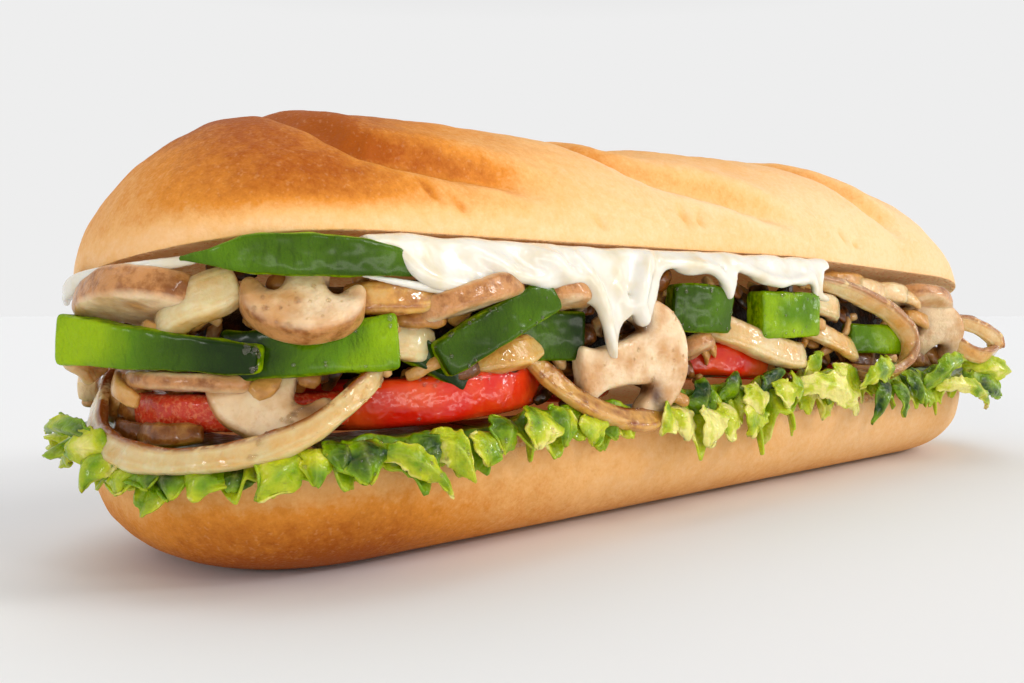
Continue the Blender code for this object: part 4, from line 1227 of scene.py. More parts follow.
@dataclass
class Onions:
    """Bands and loops of fried onion."""

    bands: tuple[Band, ...] = (
        Band("onion_ring_left", ((-177, 38.4, -5), (-170, 33.2, 0), (-158, 27.2, 4.2), (-142, 24.3, 6.0),
                                 (-125, 27.4, 5.4), (-112.5, 35.4, 2.4), (-106, 41, -2)), 4.8, 2.6, -32, 0.2, 1.0),
        Band("onion_left_end", ((-166, 49.5, -1), (-170, 45.2, 2.6), (-171, 40.6, 3.4), (-170, 36.8, 1)),
             7.0, 2.8, 50, 0.1, 0.3),
        Band("onion_chunk_left", ((-147, 45.4, -1.0), (-140, 50, 0.6), (-133, 53.2, -1)), 8.0, 5.0, -20, 0.15, 0.3),
        Band("onion_golden_top", ((-113, 51.0, -2), (-104, 51.2, 1.4), (-95, 52.4, 1.0)), 5.8, 4.0, -10, 0.6, 0.5),
        Band("onion_clear_middle", ((-110, 43.4, -5), (-103, 43.2, -2.4), (-95, 42.6, -3.6)),
             7.4, 4.0, -6, 0.05, 0.2),
        Band("onion_yellow_centre", ((-84, 38.6, -4), (-77, 40.2, -0.8), (-70, 41.4, -2.4)),
             6.4, 4.2, -28, 0.5, 0.5),
        Band("onion_arc_centre", ((-70, 38.4, -3), (-65, 32.6, 1.6), (-57, 27.8, 4), (-47, 25.2, 4.6),
                                  (-38, 25.8, 3.4), (-32, 28.8, -3)), 5.2, 2.8, -35, 0.6, 0.9),
        Band("onion_strip_right", ((-14, 46.6, -6), (-6, 43, -0.6), (6, 38.9, 1.6), (17, 36.8, 1.8),
                                   (24, 37.4, -2.5)), 7.0, 4.2, -14, 0.2, 0.4),
        Band("onion_loop_right", ((27, 57.6, -4), (40, 55.4, 0), (53, 51.2, 2.6), (64.5, 46, 4.4), (70.5, 39.2, 5.4),
                                  (67, 32.4, 4.8), (57, 30.2, 3.2), (48, 31.8, -3)), 5.6, 2.8, 52, 0.25, 0.7),
        Band("onion_inner_right", ((24, 45.8, -4), (34, 41.6, 0.4), (44, 38.0, 1.0), (53, 35.6, -3)),
             6.0, 3.0, -24, 0.3, 0.9),
        Band("onion_loop_right_end", ((98, 45.5, 1), (107, 44.2, 6.4), (115.5, 39.6, 10.4), (116, 35.4, 10.4),
                                      (109, 34.4, 8), (101, 39, 3)), 5.4, 2.4, 30, 0.2, 0.8),
        Band("onion_bit_right", ((30, 51.2, -2.4), (36, 50.0, -0.4), (42, 48.2, -3)), 6.4, 4.0, 0, 0.1, 0.3),
        Band("onion_back_left", ((-246, 42, -4), (-237, 39.6, 1.8), (-224, 40.6, 3.4), (-210, 38.4, 1.4),
                                 (-200, 41, -5)), 6.0, 3.0, -24, 0.3, 0.7),
        Band("onion_back_middle", ((-331, 43.4, -5), (-324, 39.6, 1.8), (-308, 37.4, 2.6), (-290, 38.4, 1.6),
                                   (-280, 41.6, -5)), 5.6, 3.0, -28, 0.2, 0.7),
        Band("onion_back_right", ((240, 44.4, -5), (250, 39.2, 1.8), (266, 36.8, 2.6), (282, 38.2, 1.8),
                                  (292, 43, -5)), 5.6, 3.0, -28, 0.4, 0.7),
        Band("onion_right_corner", ((176, 45, -5), (186, 42.5, 1.4), (200, 41, 2.2), (212, 43.6, -4)),
             7.0, 3.2, -10, 0.2, 0.5),
    )
    pitch: float = 0.6 * MM
    fibre_pitch: float = 1.1 * MM
    wobble: float = 0.6 * MM

    def build(self, band: Band, grain: Grain) -> Shape:
        """One band that follows its route, its width leaning out from upright."""
        rough = OUTLINE.spots(*smooth_line(band.route, 200).T)
        length = np.linalg.norm(np.diff(rough, axis=0), axis=1).sum()
        steps = max(14, round(length / self.pitch))
        middle = OUTLINE.spots(*smooth_line(band.route, steps).T)
        centre_s = band.route[len(band.route) // 2][0]
        normal = OUTLINE.at(np.array([centre_s * MM]))[2][0]
        lean = math.radians(band.lean)
        axis = np.array([0, 0, 1]) * math.cos(lean) + normal * math.sin(lean)
        ahead = unit(np.gradient(middle, axis=0))
        wide = unit(axis - ahead * (ahead @ axis)[:, None])
        inward = np.cross(wide, ahead)
        share = np.linspace(-1, 1, steps)
        sway = grain.at(middle, 12 * MM)
        width = band.width * MM * (1 - 0.18 * share**4 + 0.22 * sway)
        thick = band.thick * MM * (1 - 0.15 * share**4 + 0.25 * grain.at(middle + 1, 9 * MM))
        shape = Ribbon(middle, wide, inward, width, thick, edge=0.7 * MM, power=3.6).shape(40)
        across, through = shape.paint["across"], shape.paint["through"]
        shape.paint["edge"] = band.char * np.maximum(step(across, 0.35, 0.9), 0.7 * shape.paint["cap"])
        shape.paint["warm"] = band.warm + 0.25 * step(through, -0.2, 1) + 0.15 * grain.at(shape.points, 15 * MM)
        fibre = np.sin(math.tau * (across * band.width * MM / 2 + 0.8 * grain.at(shape.points, 8 * MM) * MM)
                       / self.fibre_pitch)
        shape.paint["fibre"] = 0.5 + 0.5 * fibre
        lumps = grain.at(shape.points, 6 * MM) + 0.25 * grain.at(shape.points, 2.6 * MM) + 0.05 * fibre
        return shape.pushed(self.wobble * lumps)

    def dress(self) -> None:
        """Serves every band."""
        for number, band in enumerate(self.bands):
            serve(self.build(band, Grain(80 + number)), band.name, Slot.ONION, OnionFinish())


@dataclass(frozen=True)
class Round:
    """A tomato slice: where its rim shows, height, tilt in degrees, radius, thickness and inset in mm."""

    name: str
    s: float
    z: float
    tilt: float
    radius: float
    thick: float
    inset: float
    raw: float = 0.0


@dataclass
class Tomatoes:
    """Full round slices, set back so that their rims come to the outline."""

    rounds: tuple[Round, ...] = (
        Round("tomato_middle", -85, 32.6, 3.4, 33, 9.0, -0.6),
        Round("tomato_left", -150, 31.0, 0.0, 23, 6.4, 2.5, 0.9),
        Round("tomato_right", 2, 36.0, -4.0, 30, 8.4, 0.6),
        Round("tomato_back_left", -286, 31.6, 1.0, 30, 8.0, 0.0),
        Round("tomato_back_right", 262, 31.6, -1.0, 31, 8.0, 0.0),
    )
    around: int = 300
    skin_depth: float = 1.2
    wobble: float = 0.35 * MM

    def build(self, piece: Round, grain: Grain) -> Shape:
        """A disc with rounded corners, a slightly lobed rim, and seed hollows on its faces."""
        turn = np.linspace(0, math.tau, self.around, endpoint=False)
        lobes = 1 + 0.03 * np.sin(3 * turn + piece.s)
        half, fillet = piece.thick / 2, 1.7
        profile = [(share * (piece.radius - fillet), -half) for share in (0.15, 0.35, 0.55, 0.7, 0.82, 0.92)]
        for angle in range(-90, 91, 12):
            radius = piece.radius - fillet + fillet * math.cos(math.radians(angle))
            profile.append((radius, math.copysign(half - fillet, angle) + fillet * math.sin(math.radians(angle))))
        profile += [(radius, -z) for radius, z in reversed(profile[:6])]
        rings = np.array([
            np.stack([r * np.cos(turn) * lobes, r * np.sin(turn) * lobes, np.full_like(turn, z)], -1)
            for r, z in profile
        ])
        shape = Shape.tube(rings * MM, np.array([[0, 0, -half], [0, 0, half]]) * MM)
        radius = np.hypot(shape.points[:, 0], shape.points[:, 1]) / MM
        face = 1 - step(radius, piece.radius - self.skin_depth - 1.2, piece.radius - self.skin_depth)
        shape.paint["flesh"] = np.maximum(face, piece.raw)
        angle = np.arctan2(shape.points[:, 1], shape.points[:, 0])
        hollow = bell(radius, 0.58 * piece.radius, 0.16 * piece.radius) * (0.5 + 0.5 * np.cos(6 * angle)) * face
        lumps = grain.at(shape.points, 9 * MM) + 0.5 * grain.at(shape.points, 3 * MM)
        lumps = lumps + piece.raw * 0.8 * grain.rough(shape.points, 1.6 * MM)
        return shape.pushed(self.wobble * lumps - 0.6 * MM * hollow)

    def dress(self) -> None:
        """Serves every slice."""
        for number, piece in enumerate(self.rounds):
            at = (piece.s, piece.z, -piece.radius - piece.inset)
            shape = self.build(piece, Grain(20 + number)).moved(OUTLINE.stand(at, (piece.tilt, 0, 0)))
            serve(shape, piece.name, Slot.TOMATO, TomatoFinish())


@dataclass(frozen=True)
class Leaf:
    """A lettuce leaf: from where to where, the frill's reach, its lower edge and crest, its waves and seed."""

    name: str
    start: float
    end: float
    reach: float
    low: float
    high: float
    waves: float
    seed: int
    pale: float = 0.45


@dataclass(frozen=True)
class Tongue:
    """A lobe of leaf: from root to tip, half its width in mm, its paleness, how blunt its tip is, and its fold."""

    root: Place
    tip: Place
    half: float
    pale: float
    blunt: float
    fold: float


@dataclass
class Lettuce:
    """Leaves that lie on the lower half and rise to a crest at its edge, with torn lobes that curl over it."""

    leaves: tuple[Leaf, ...] = (
        Leaf("lettuce_left_end", -204, -160, 9.0, 22.0, 27.0, 3.6, 1, 0.35),
        Leaf("lettuce_left", -161, -121, 6.0, 17.2, 25.6, 3.6, 2, 0.40),
        Leaf("lettuce_front_left", -120, -83, 6.0, 18.4, 27.0, 3.0, 3, 0.20),
        Leaf("lettuce_front_centre", -82, -44, 5.6, 21.0, 30.4, 3.0, 4, 0.45),
        Leaf("lettuce_front_right", -36, 14, 6.4, 18.2, 32.0, 4.2, 5, 0.45),
        Leaf("lettuce_right", 15, 52, 5.6, 22.4, 34.0, 3.0, 6, 0.60),
        Leaf("lettuce_right_end", 53, 106, 6.0, 19.6, 31.6, 4.2, 7, 0.40),
        Leaf("lettuce_far_end", 108, 172, 9.0, 22.0, 31.0, 5.0, 8, 0.45),
        Leaf("lettuce_back_right", 196, 258, 6.0, 20.0, 29.0, 5.0, 9, 0.45),
        Leaf("lettuce_back_left", -322, -236, 6.0, 20.0, 29.0, 6.4, 10, 0.45),
    )
    tongues: dict[str, tuple[Tongue, ...]] = field(default_factory=lambda: {
        "lettuce_left_end": (
            Tongue((-154.3, 26.6, 5.5), (-170.9, 26.4, 9.5), 1.9, 0.45, 2.0, 0.5),
            Tongue((-153.0, 25.4, 6.0), (-160.3, 24.7, 9.0), 2.8, 0.75, 6.0, 0.2),
            Tongue((-154.4, 25.0, 6.5), (-155.0, 18.6, 9.0), 4.4, 0.55, 3.0, 0.3),
            Tongue((-153.5, 24.4, 5.0), (-152.2, 20.9, 7.0), 2.8, 0.1, 5.0, 0.2),
        ),
        "lettuce_left": (
            Tongue((-149.2, 23.9, 4.5), (-148.4, 18.8, 7.5), 4.8, 0.55, 7.0, 0.25),
            Tongue((-145.1, 23.2, 4.5), (-143.9, 19.8, 7.0), 3.6, 0.4, 5.0, -0.2),
            Tongue((-141.2, 23.5, 4.5), (-139.6, 18.6, 7.5), 3.8, 0.3, 3.0, 0.35),
            Tongue((-134.3, 23.7, 4.5), (-136.2, 18.5, 8.0), 3.8, 0.5, 3.0, 0.2),
            Tongue((-131.0, 23.3, 4.0), (-131.5, 19.9, 6.5), 3.0, 0.2, 5.0, 0.3),
            Tongue((-122.2, 25.1, 4.5), (-127.9, 18.7, 8.5), 4.2, 0.5, 3.6, 0.3),
        ),
        "lettuce_front_left": (
            Tongue((-119.9, 26.0, 4.5), (-120.5, 20.5, 7.5), 2.4, 0.6, 2.4, 0.3),
            Tongue((-115.8, 26.5, 4.0), (-117.1, 22.8, 6.5), 3.2, 0.15, 5.0, 0.2),
            Tongue((-113.4, 26.8, 4.0), (-113.3, 20.2, 7.5), 4.4, 0.28, 3.0, 0.35),
            Tongue((-109.9, 24.9, 5.0), (-97.7, 16.0, 8.0), 2.2, 0.6, 2.4, 0.3),
            Tongue((-105.2, 25.9, 3.5), (-100.5, 19.6, 6.5), 3.8, 0.02, 6.0, -0.3),
            Tongue((-100.0, 26.9, 4.0), (-92.8, 18.2, 8.0), 3.0, 0.66, 3.0, 0.4),
        ),
        "lettuce_front_centre": (
            Tongue((-88.4, 26.3, 4.0), (-89.5, 20.4, 7.0), 3.4, 0.62, 5.0, -0.3),
            Tongue((-82.1, 28.0, 4.0), (-85.3, 22.4, 7.0), 3.6, 0.4, 5.0, 0.3),
            Tongue((-75.3, 29.5, 4.0), (-77.6, 22.6, 7.5), 4.4, 0.7, 6.0, -0.3),
            Tongue((-67.9, 29.3, 4.0), (-69.8, 22.2, 7.0), 3.8, 0.5, 5.0, 0.3),
            Tongue((-60.4, 27.3, 3.5), (-61.6, 21.3, 6.5), 3.6, 0.55, 5.0, -0.2),
            Tongue((-53.4, 26.1, 3.0), (-54.2, 21.8, 5.5), 3.0, 0.45, 4.0, 0.3),
        ),
        "lettuce_front_right": (
            Tongue((-35.4, 26.1, 4.0), (-41.5, 22.0, 6.5), 3.2, 0.8, 5.0, -0.2),
            Tongue((-30.6, 26.7, 4.0), (-33.4, 20.0, 7.0), 4.2, 0.85, 6.0, 0.25),
            Tongue((-23.4, 26.2, 4.5), (-26.3, 17.8, 7.5), 4.4, 0.95, 6.0, -0.3),
            Tongue((-15.2, 26.4, 4.5), (-18.3, 18.4, 7.5), 4.2, 0.85, 6.0, 0.25),
            Tongue((-6.7, 26.5, 4.0), (-9.5, 18.5, 7.0), 4.2, 0.7, 6.0, -0.25),
            Tongue((-6.5, 30.9, 5.0), (-5.9, 23.8, 7.5), 4.8, 0.9, 6.0, 0.3),
            Tongue((4.1, 31.3, 4.5), (4.9, 24.7, 7.0), 4.2, 0.8, 5.0, -0.3),
            Tongue((-24.8, 24.9, 4.5), (-23.8, 33.0, 4.5), 3.4, 0.15, 2.6, 0.4),
            Tongue((-11.2, 27.7, 3.5), (-14.6, 32.7, 4.0), 4.0, 0.02, 5.0, 0.3),
            Tongue((2.3, 28.4, 3.5), (-0.2, 32.8, 4.0), 4.6, 0.05, 5.0, -0.3),
        ),
        "lettuce_right": (
            Tongue((14.0, 29.6, 5.0), (37.1, 20.4, 8.0), 3.2, 0.9, 7.0, 0.25),
            Tongue((26.2, 24.9, 5.0), (34.2, 33.7, 6.0), 3.6, 0.72, 6.0, 0.35),
            Tongue((20.0, 29.9, 3.5), (23.8, 38.0, 4.5), 2.8, 0.7, 2.6, 0.4),
            Tongue((15.3, 31.2, 3.5), (9.9, 26.1, 6.5), 3.4, 0.55, 5.0, 0.2),
        ),
        "lettuce_right_end": (
            Tongue((61.7, 31.6, 4.5), (39.7, 27.8, 7.0), 2.8, 0.7, 5.0, 0.25),
            Tongue((58.3, 28.6, 4.5), (45.1, 17.2, 8.0), 3.4, 0.22, 2.4, 0.4),
            Tongue((65.5, 27.7, 5.0), (62.3, 17.9, 8.0), 3.4, 0.3, 2.6, 0.4),
            Tongue((72.1, 30.9, 4.0), (75.0, 20.7, 7.0), 3.4, 0.25, 3.0, 0.3),
            Tongue((81.8, 25.6, 4.5), (102.1, 33.5, 7.0), 3.2, 0.35, 3.0, 0.3),
            Tongue((86.8, 25.4, 5.5), (114.9, 16.4, 9.0), 2.2, 0.85, 5.0, 0.3),
        ),
        "lettuce_far_end": (
            Tongue((105.5, 26.2, 5.0), (118.7, 20.4, 12.0), 3.8, 0.4, 4.0, 0.25),
            Tongue((108.6, 28.0, 4.5), (118.9, 29.1, 15.0), 3.4, 0.7, 6.0, 0.3),
        ),
    })
    loose: dict[str, tuple[float, float]] = field(default_factory=lambda: {
        "lettuce_left_end": (-202, -166), "lettuce_far_end": (122, 170),
        "lettuce_back_right": (198, 256), "lettuce_back_left": (-320, -238),
    })
    loose_pitch: float = 4.6
    bed: float = 25.4
    depth: float = 18.0
    thick: float = 0.5 * MM
    ruffle: float = 2.6
    column: float = 0.42
    rows: int = 46
    lobe_rows: int = 30
    lobe_columns: int = 25

    def base(self, leaf: Leaf) -> Shape:
        """The leaf itself: broad waves, with tighter and tighter curls towards its free edge."""
        grain = Grain(100 + leaf.seed)
        columns = round((leaf.end - leaf.start) / self.column)
        across, share = np.meshgrid(np.linspace(0, 1, columns), np.linspace(0, 1, self.rows))
        s = leaf.start + (leaf.end - leaf.start) * across
        wave = math.tau * leaf.waves * across + leaf.seed

        def drift(size: float, shift: float, run: float = 0) -> np.ndarray:
            """Noise along the leaf and, by run, across it."""
            line = np.stack([s.ravel(), np.full(s.size, shift), run * share.ravel()], -1)
            return grain.at(line, size).reshape(s.shape)

        ragged = drift(7.7, leaf.seed * 31.0)
        teeth = drift(4.2, 3.0) + 0.6 * drift(1.9, 5.0)
        end = np.minimum(1, np.minimum(6 * across + 0.2, 6 * (1 - across) + 0.2))
        rise, fall = np.clip((share - 0.3) / 0.4, 0, 1), np.clip((share - 0.7) / 0.3, 0, 1)
        longer = np.clip(0.8 + 0.5 * ragged + 0.7 * teeth, 0.3, 1.15)
        swing = self.ruffle * (0.45 * rise + 0.55 * fall)
        out = 1.6 - self.depth * np.maximum(0, 1 - share / 0.7) + (leaf.reach - 2.6) * fall * (1 + 0.5 * ragged)
        z = self.bed + (leaf.high - self.bed) * end * rise**1.5 * (0.85 + 0.5 * drift(9, 7.0))
        z -= (leaf.high - leaf.low) * end * longer * fall
        z += swing * (0.3 * np.sin(wave) + 0.9 * drift(6, 11.0, 6))
        out += swing * (0.4 * np.cos(wave * 0.83 + share * 3) + 1.0 * drift(5, 13.0, 5))
        tight = 2.4 * step(share, 0.5, 1.0)
        out += tight * (drift(2.9, 17.0, 4) + 0.4 * drift(1.4, 19.0, 4))
        z += 0.7 * tight * drift(2.6, 23.0, 4)
        slide = swing * drift(5, 29.0, 5) + tight * drift(3.1, 31.0, 3)
        shape = Shape.sheet(OUTLINE.spots(s + slide, z, out), np.full(s.shape, self.thick))
        vein = np.exp(-((np.sin(math.pi * (s / 7.3 + 0.6 * ragged)) / 0.10) ** 2)) * (1 - 0.7 * share)
        pale = leaf.pale + 0.3 * step(share, 0.75, 1.0) - 0.35 * (1 - rise) + 0.3 * ragged
        shape.paint["vein"] = np.tile(vein.ravel(), 2)
        shape.paint["pale"] = np.tile(pale.ravel(), 2)
        return shape

    def lobe(self, tongue: Tongue, seed: int) -> Shape:
        """One lobe, bulging out from root to tip, folded along its rib and crinkled towards its torn edge."""
        grain = Grain(300 + seed)
        u, v = np.meshgrid(np.linspace(0, 1, self.lobe_rows), np.linspace(-1, 1, self.lobe_columns), indexing="ij")
        root, tip = np.array(tongue.root), np.array(tongue.tip)
        run = tip - root
        length = float(np.hypot(run[0], run[1]))
        bulge = np.array([0.0, 0.25 * length, 0.30 * length])
        centre = root + run * u[..., None] + bulge * (4 * u * (1 - u))[..., None] * 0.5
        side = np.array([-run[1], run[0], 0.0]) / max(length, 0.1)

        def drift(size: float, shift: float) -> np.ndarray:
            """Noise over the lobe."""
            place = np.stack([u * length, v * tongue.half, 0 * u + shift], -1).reshape(-1, 3)
            return grain.at(place, size).reshape(u.shape)

        def edge_noise(size: float, shift: float) -> np.ndarray:
            """Noise along the lobe, another on each side."""
            place = np.stack([u * length, np.sign(v) * 9.0 + shift, 0 * u], -1).reshape(-1, 3)
            return grain.at(place, size).reshape(u.shape)

        wide = (0.62 + 0.45 * np.sin(math.pi * np.minimum(u * 1.15, 1))) * (1 - u**tongue.blunt) ** 0.6 + 0.05
        wide = tongue.half * wide * (1 + 0.55 * edge_noise(2.6, 1.0) + 0.35 * edge_noise(1.1, 4.0))
        bend = 0.35 * tongue.half * drift(6, 3.0)
        rim = np.abs(v) ** 2.2
        out = -tongue.fold * np.abs(v) * wide + rim * (2.2 * drift(2.8, 5.0) + 1.2 * drift(1.5, 9.0))
        out = out + 0.9 * drift(4.5, 13.0) + 0.5 * np.sin(math.pi * u) * np.cos(math.pi * v)
        place = centre + side * (v * wide + bend)[..., None]
        z = place[..., 1] + rim * 1.0 * drift(2.4, 17.0)
        grid = OUTLINE.spots(place[..., 0], z, place[..., 2] + out)
        shape = Shape.sheet(grid, np.full(u.shape, 0.9 * self.thick))
        rib = bell(v, 0.0, 0.09) * (1 - 0.6 * u) + 0.5 * bell(np.sin(7.5 * (u - 0.35 * np.abs(v))), 0.0, 0.22)
        pale = tongue.pale + 0.10 * step(np.abs(v), 0.7, 1.0) + 0.15 * step(u, 0.8, 1.0) + 0.6 * drift(4, 21.0)
        shape.paint["vein"] = np.tile(np.clip(0.8 * rib, 0, 1).ravel(), 2)
        shape.paint["pale"] = np.tile(pale.ravel(), 2)
        return shape

    def scattered(self, leaf: Leaf) -> list[Tongue]:
        """Lobes drawn at random along the leaves that have none listed."""
        if leaf.name not in self.loose:
            return []
        draw = np.random.default_rng(leaf.seed)
        start, end = self.loose[leaf.name]
        found = []
        places = np.arange(start, end, self.loose_pitch)
        for s in places + draw.uniform(-1.2, 1.2, len(places)):
            root = (s, leaf.high - draw.uniform(1.0, 4.5), draw.uniform(2.5, 5.0))
            tip = (s + draw.uniform(-6, 6), draw.uniform(leaf.low - 2.5, leaf.low + 3), draw.uniform(5.5, 8.0))
            shade = (draw.uniform(2.6, 4.4), draw.uniform(0.05, 0.9), draw.uniform(2.4, 6.5), draw.uniform(-0.3, 0.4))
            found.append(Tongue(root, tip, *shade))
        return found

    def dress(self) -> None:
        """Serves every leaf with its lobes."""
        for leaf in self.leaves:
            lobes = [*self.tongues.get(leaf.name, ()), *self.scattered(leaf)]
            shapes = [self.lobe(tongue, 50 * leaf.seed + number) for number, tongue in enumerate(lobes)]
            serve(Shape.joined([self.base(leaf), *shapes]), leaf.name, Slot.LETTUCE, LeafFinish())


def cord(places: Sequence[tuple[float, float, float, float]], count: int = 26) -> Shape:
    """A round cord through places of (s, z, out, radius) in millimetres."""
    line = smooth_line(places, count)
    middle = OUTLINE.spots(*line[:, :3].T)
    ahead = unit(np.gradient(middle, axis=0))
    side = unit(np.cross(ahead, np.array([0.31, 0.87, 0.40])))
    size = np.maximum(line[:, 3], 0.3) * 2 * MM
    return Ribbon(middle, side, np.cross(side, ahead), size, size, edge=float(size.min()) / 2, power=2.0).shape(16)


@dataclass
class Cheese:
    """A melted sheet from under the top half, over the filling's edge and down in drips."""

    span: tuple[float, float] = (-112.0, 30.0)
    drips: tuple[Place, ...] = (
        (-97, 8.5, 9.8), (-84, 12, 8.4), (-70, 12, 9.0), (-60, 6, 12.0), (-53.5, 3.4, 23.5),
        (-44, 6.5, 16.4), (-27, 10, 5.2), (-14, 2.8, 10.5), (2, 10, 7.2), (16, 9, 7.0), (24, 3, 10.5),
    )
    folds: tuple[tuple[tuple[float, float, float, float], ...], ...] = (
        ((-107, 60.0, 2.6, 1.4), (-101, 55.0, 4.0, 1.7), (-92, 53.4, 4.0, 1.4), (-82, 55.0, 3.8, 1.2)),
        ((-90, 60.0, 3.0, 1.6), (-84, 57.6, 4.4, 1.8), (-79, 55.4, 4.2, 1.6), (-72, 55.2, 4.0, 1.6)),
        ((-76, 60.4, 3.0, 1.6), (-71, 58.4, 4.6, 2.2), (-67, 55.8, 4.6, 2.0), (-63, 55.0, 4.0, 1.5)),
        ((-65, 60, 3.0, 1.8), (-60.6, 55, 4.6, 1.9), (-57.4, 48.4, 5.0, 1.6), (-54.6, 42, 4.8, 1.3),
         (-53, 38.8, 4.6, 1)),
        ((-42, 60, 3.2, 1.8), (-45.4, 55.4, 4.8, 2.2), (-47, 50.4, 5.0, 2.1), (-44.8, 46.8, 4.6, 1.9)),
        ((-52.5, 53, 4.0, 1.8), (-50.6, 50, 4.2, 1.6), (-50, 47.6, 4.0, 1.2)),
        ((-38, 59, 3.6, 1.4), (-29, 59.4, 4.4, 1.3), (-21, 58.4, 4.6, 1.3), (-15.8, 55, 4.4, 1.2),
         (-13.4, 52, 4, 0.9)),
        ((-12, 60, 3.2, 1.4), (-4.4, 57.8, 4.4, 1.4), (4, 55.8, 4.8, 1.4), (14, 56.4, 4.8, 1.3), (21, 57.8, 4, 1.2)),
        ((17.6, 58.6, 3.8, 1.3), (21.6, 55.8, 4.2, 1.3), (22.4, 51.4, 3.8, 1.1)),
        ((24, 52.2, 3.2, 1.1), (28, 52.0, 3.2, 1.2), (31, 51.4, 2.4, 0.9)),
    )
    edge: float = 2.2
    thick: float = 2.0 * MM
    depth: float = 16.0
    cut_z: float = 63.6
    tilt: float = math.radians(8)
    columns: int = 300
    rows: int = 40
    voxel: float = 0.45 * MM
    smoothing: int = 34

    def hang(self, s: np.ndarray) -> np.ndarray:
        """How far the melted edge hangs at s, in mm."""
        found = np.full_like(s, self.edge)
        for middle, half, length in self.drips:
            found = np.maximum(found, length * np.exp(-np.abs((s - middle) / half) ** 2.4))
        return found

    def build(self) -> Shape:
        """The sheet with beads along its lower edge, melted into one skin."""
        across, share = np.meshgrid(np.linspace(0, 1, self.columns), np.linspace(0, 1, self.rows))
        s = self.span[0] + (self.span[1] - self.span[0]) * across
        inner = np.maximum(0, 1 - share / 0.4)
        hang = np.maximum(0, (share - 0.4) / 0.6) * self.hang(s)
        out = 3.4 - self.depth * inner - 1.2 * np.exp(-hang / 3)
        z = self.cut_z - 1.9 - hang - math.tan(self.tilt) * np.maximum(0, -out)
        grain = Grain(5)
        grid = OUTLINE.spots(s, z, out)
        swell = 0.5 * grain.at(grid.reshape(-1, 3), 9 * MM).reshape(s.shape)
        thick = self.thick * (1 + swell) * (0.75 + 0.5 * step(share, 0.4, 1.0))
        shape = Shape.fused([Shape.sheet(grid, thick), *(cord(fold) for fold in self.folds)], self.voxel)
        shape.smoothed(self.smoothing)
        return shape.pushed(0.7 * MM * grain.at(shape.points, 9 * MM) + 0.2 * MM * grain.at(shape.points, 4 * MM))

    def dress(self) -> None:
        """Serves the cheese."""
        serve(self.build(), "cheese_melted", Slot.CHEESE, CheeseFinish())


@dataclass
class Saute:
    """The dark heap of trimmings that the shown pieces lean on; its near-black colour is painted shade for the gaps
    between them.
    """

    size: Place = (133, 29, 13.2)
    droop: tuple[float, float] = (20 * MM, 0.045)
    centre_z: float = 41.6 * MM
    blunt: float = 0.52
    tilt: float = math.radians(4)

    def build(self) -> Shape:
        """A blunt lump along the roll, uneven all over."""
        turn = np.linspace(0, math.tau, 110, endpoint=False)
        polar = np.linspace(0, math.pi, 190)[1:-1, None]
        ball = np.stack([np.cos(polar) + 0 * turn, np.sin(polar) * np.cos(turn), np.sin(polar) * np.sin(turn)], -1)
        shape = Shape.tube(ball, np.array([[1.0, 0, 0], [-1.0, 0, 0]]))
        grain = Grain(9)
        soft = np.sign(shape.points) * np.abs(shape.points) ** self.blunt
        shape.points = soft * np.array(self.size) * MM * 0.97
        over = self.droop[1] * np.maximum(0, shape.points[:, 0] - self.droop[0]) / (self.size[2] * MM)
        shape.points[:, 2] *= np.where(shape.points[:, 2] > 0, 1 - over, 1)
        lumps = grain.at(shape.points, 9 * MM) + 0.5 * grain.at(shape.points, 4 * MM)
        shape.facing_out().pushed(1.6 * MM * lumps)
        return shape.moved(np.array(Matrix.Translation((0, 0, self.centre_z)) @ Matrix.Rotation(-self.tilt, 4, "X")))

    def dress(self) -> None:
        """Serves the heap."""
        serve(self.build(), "saute_heap", Slot.SAUTE, SauteAndShadeFinish())


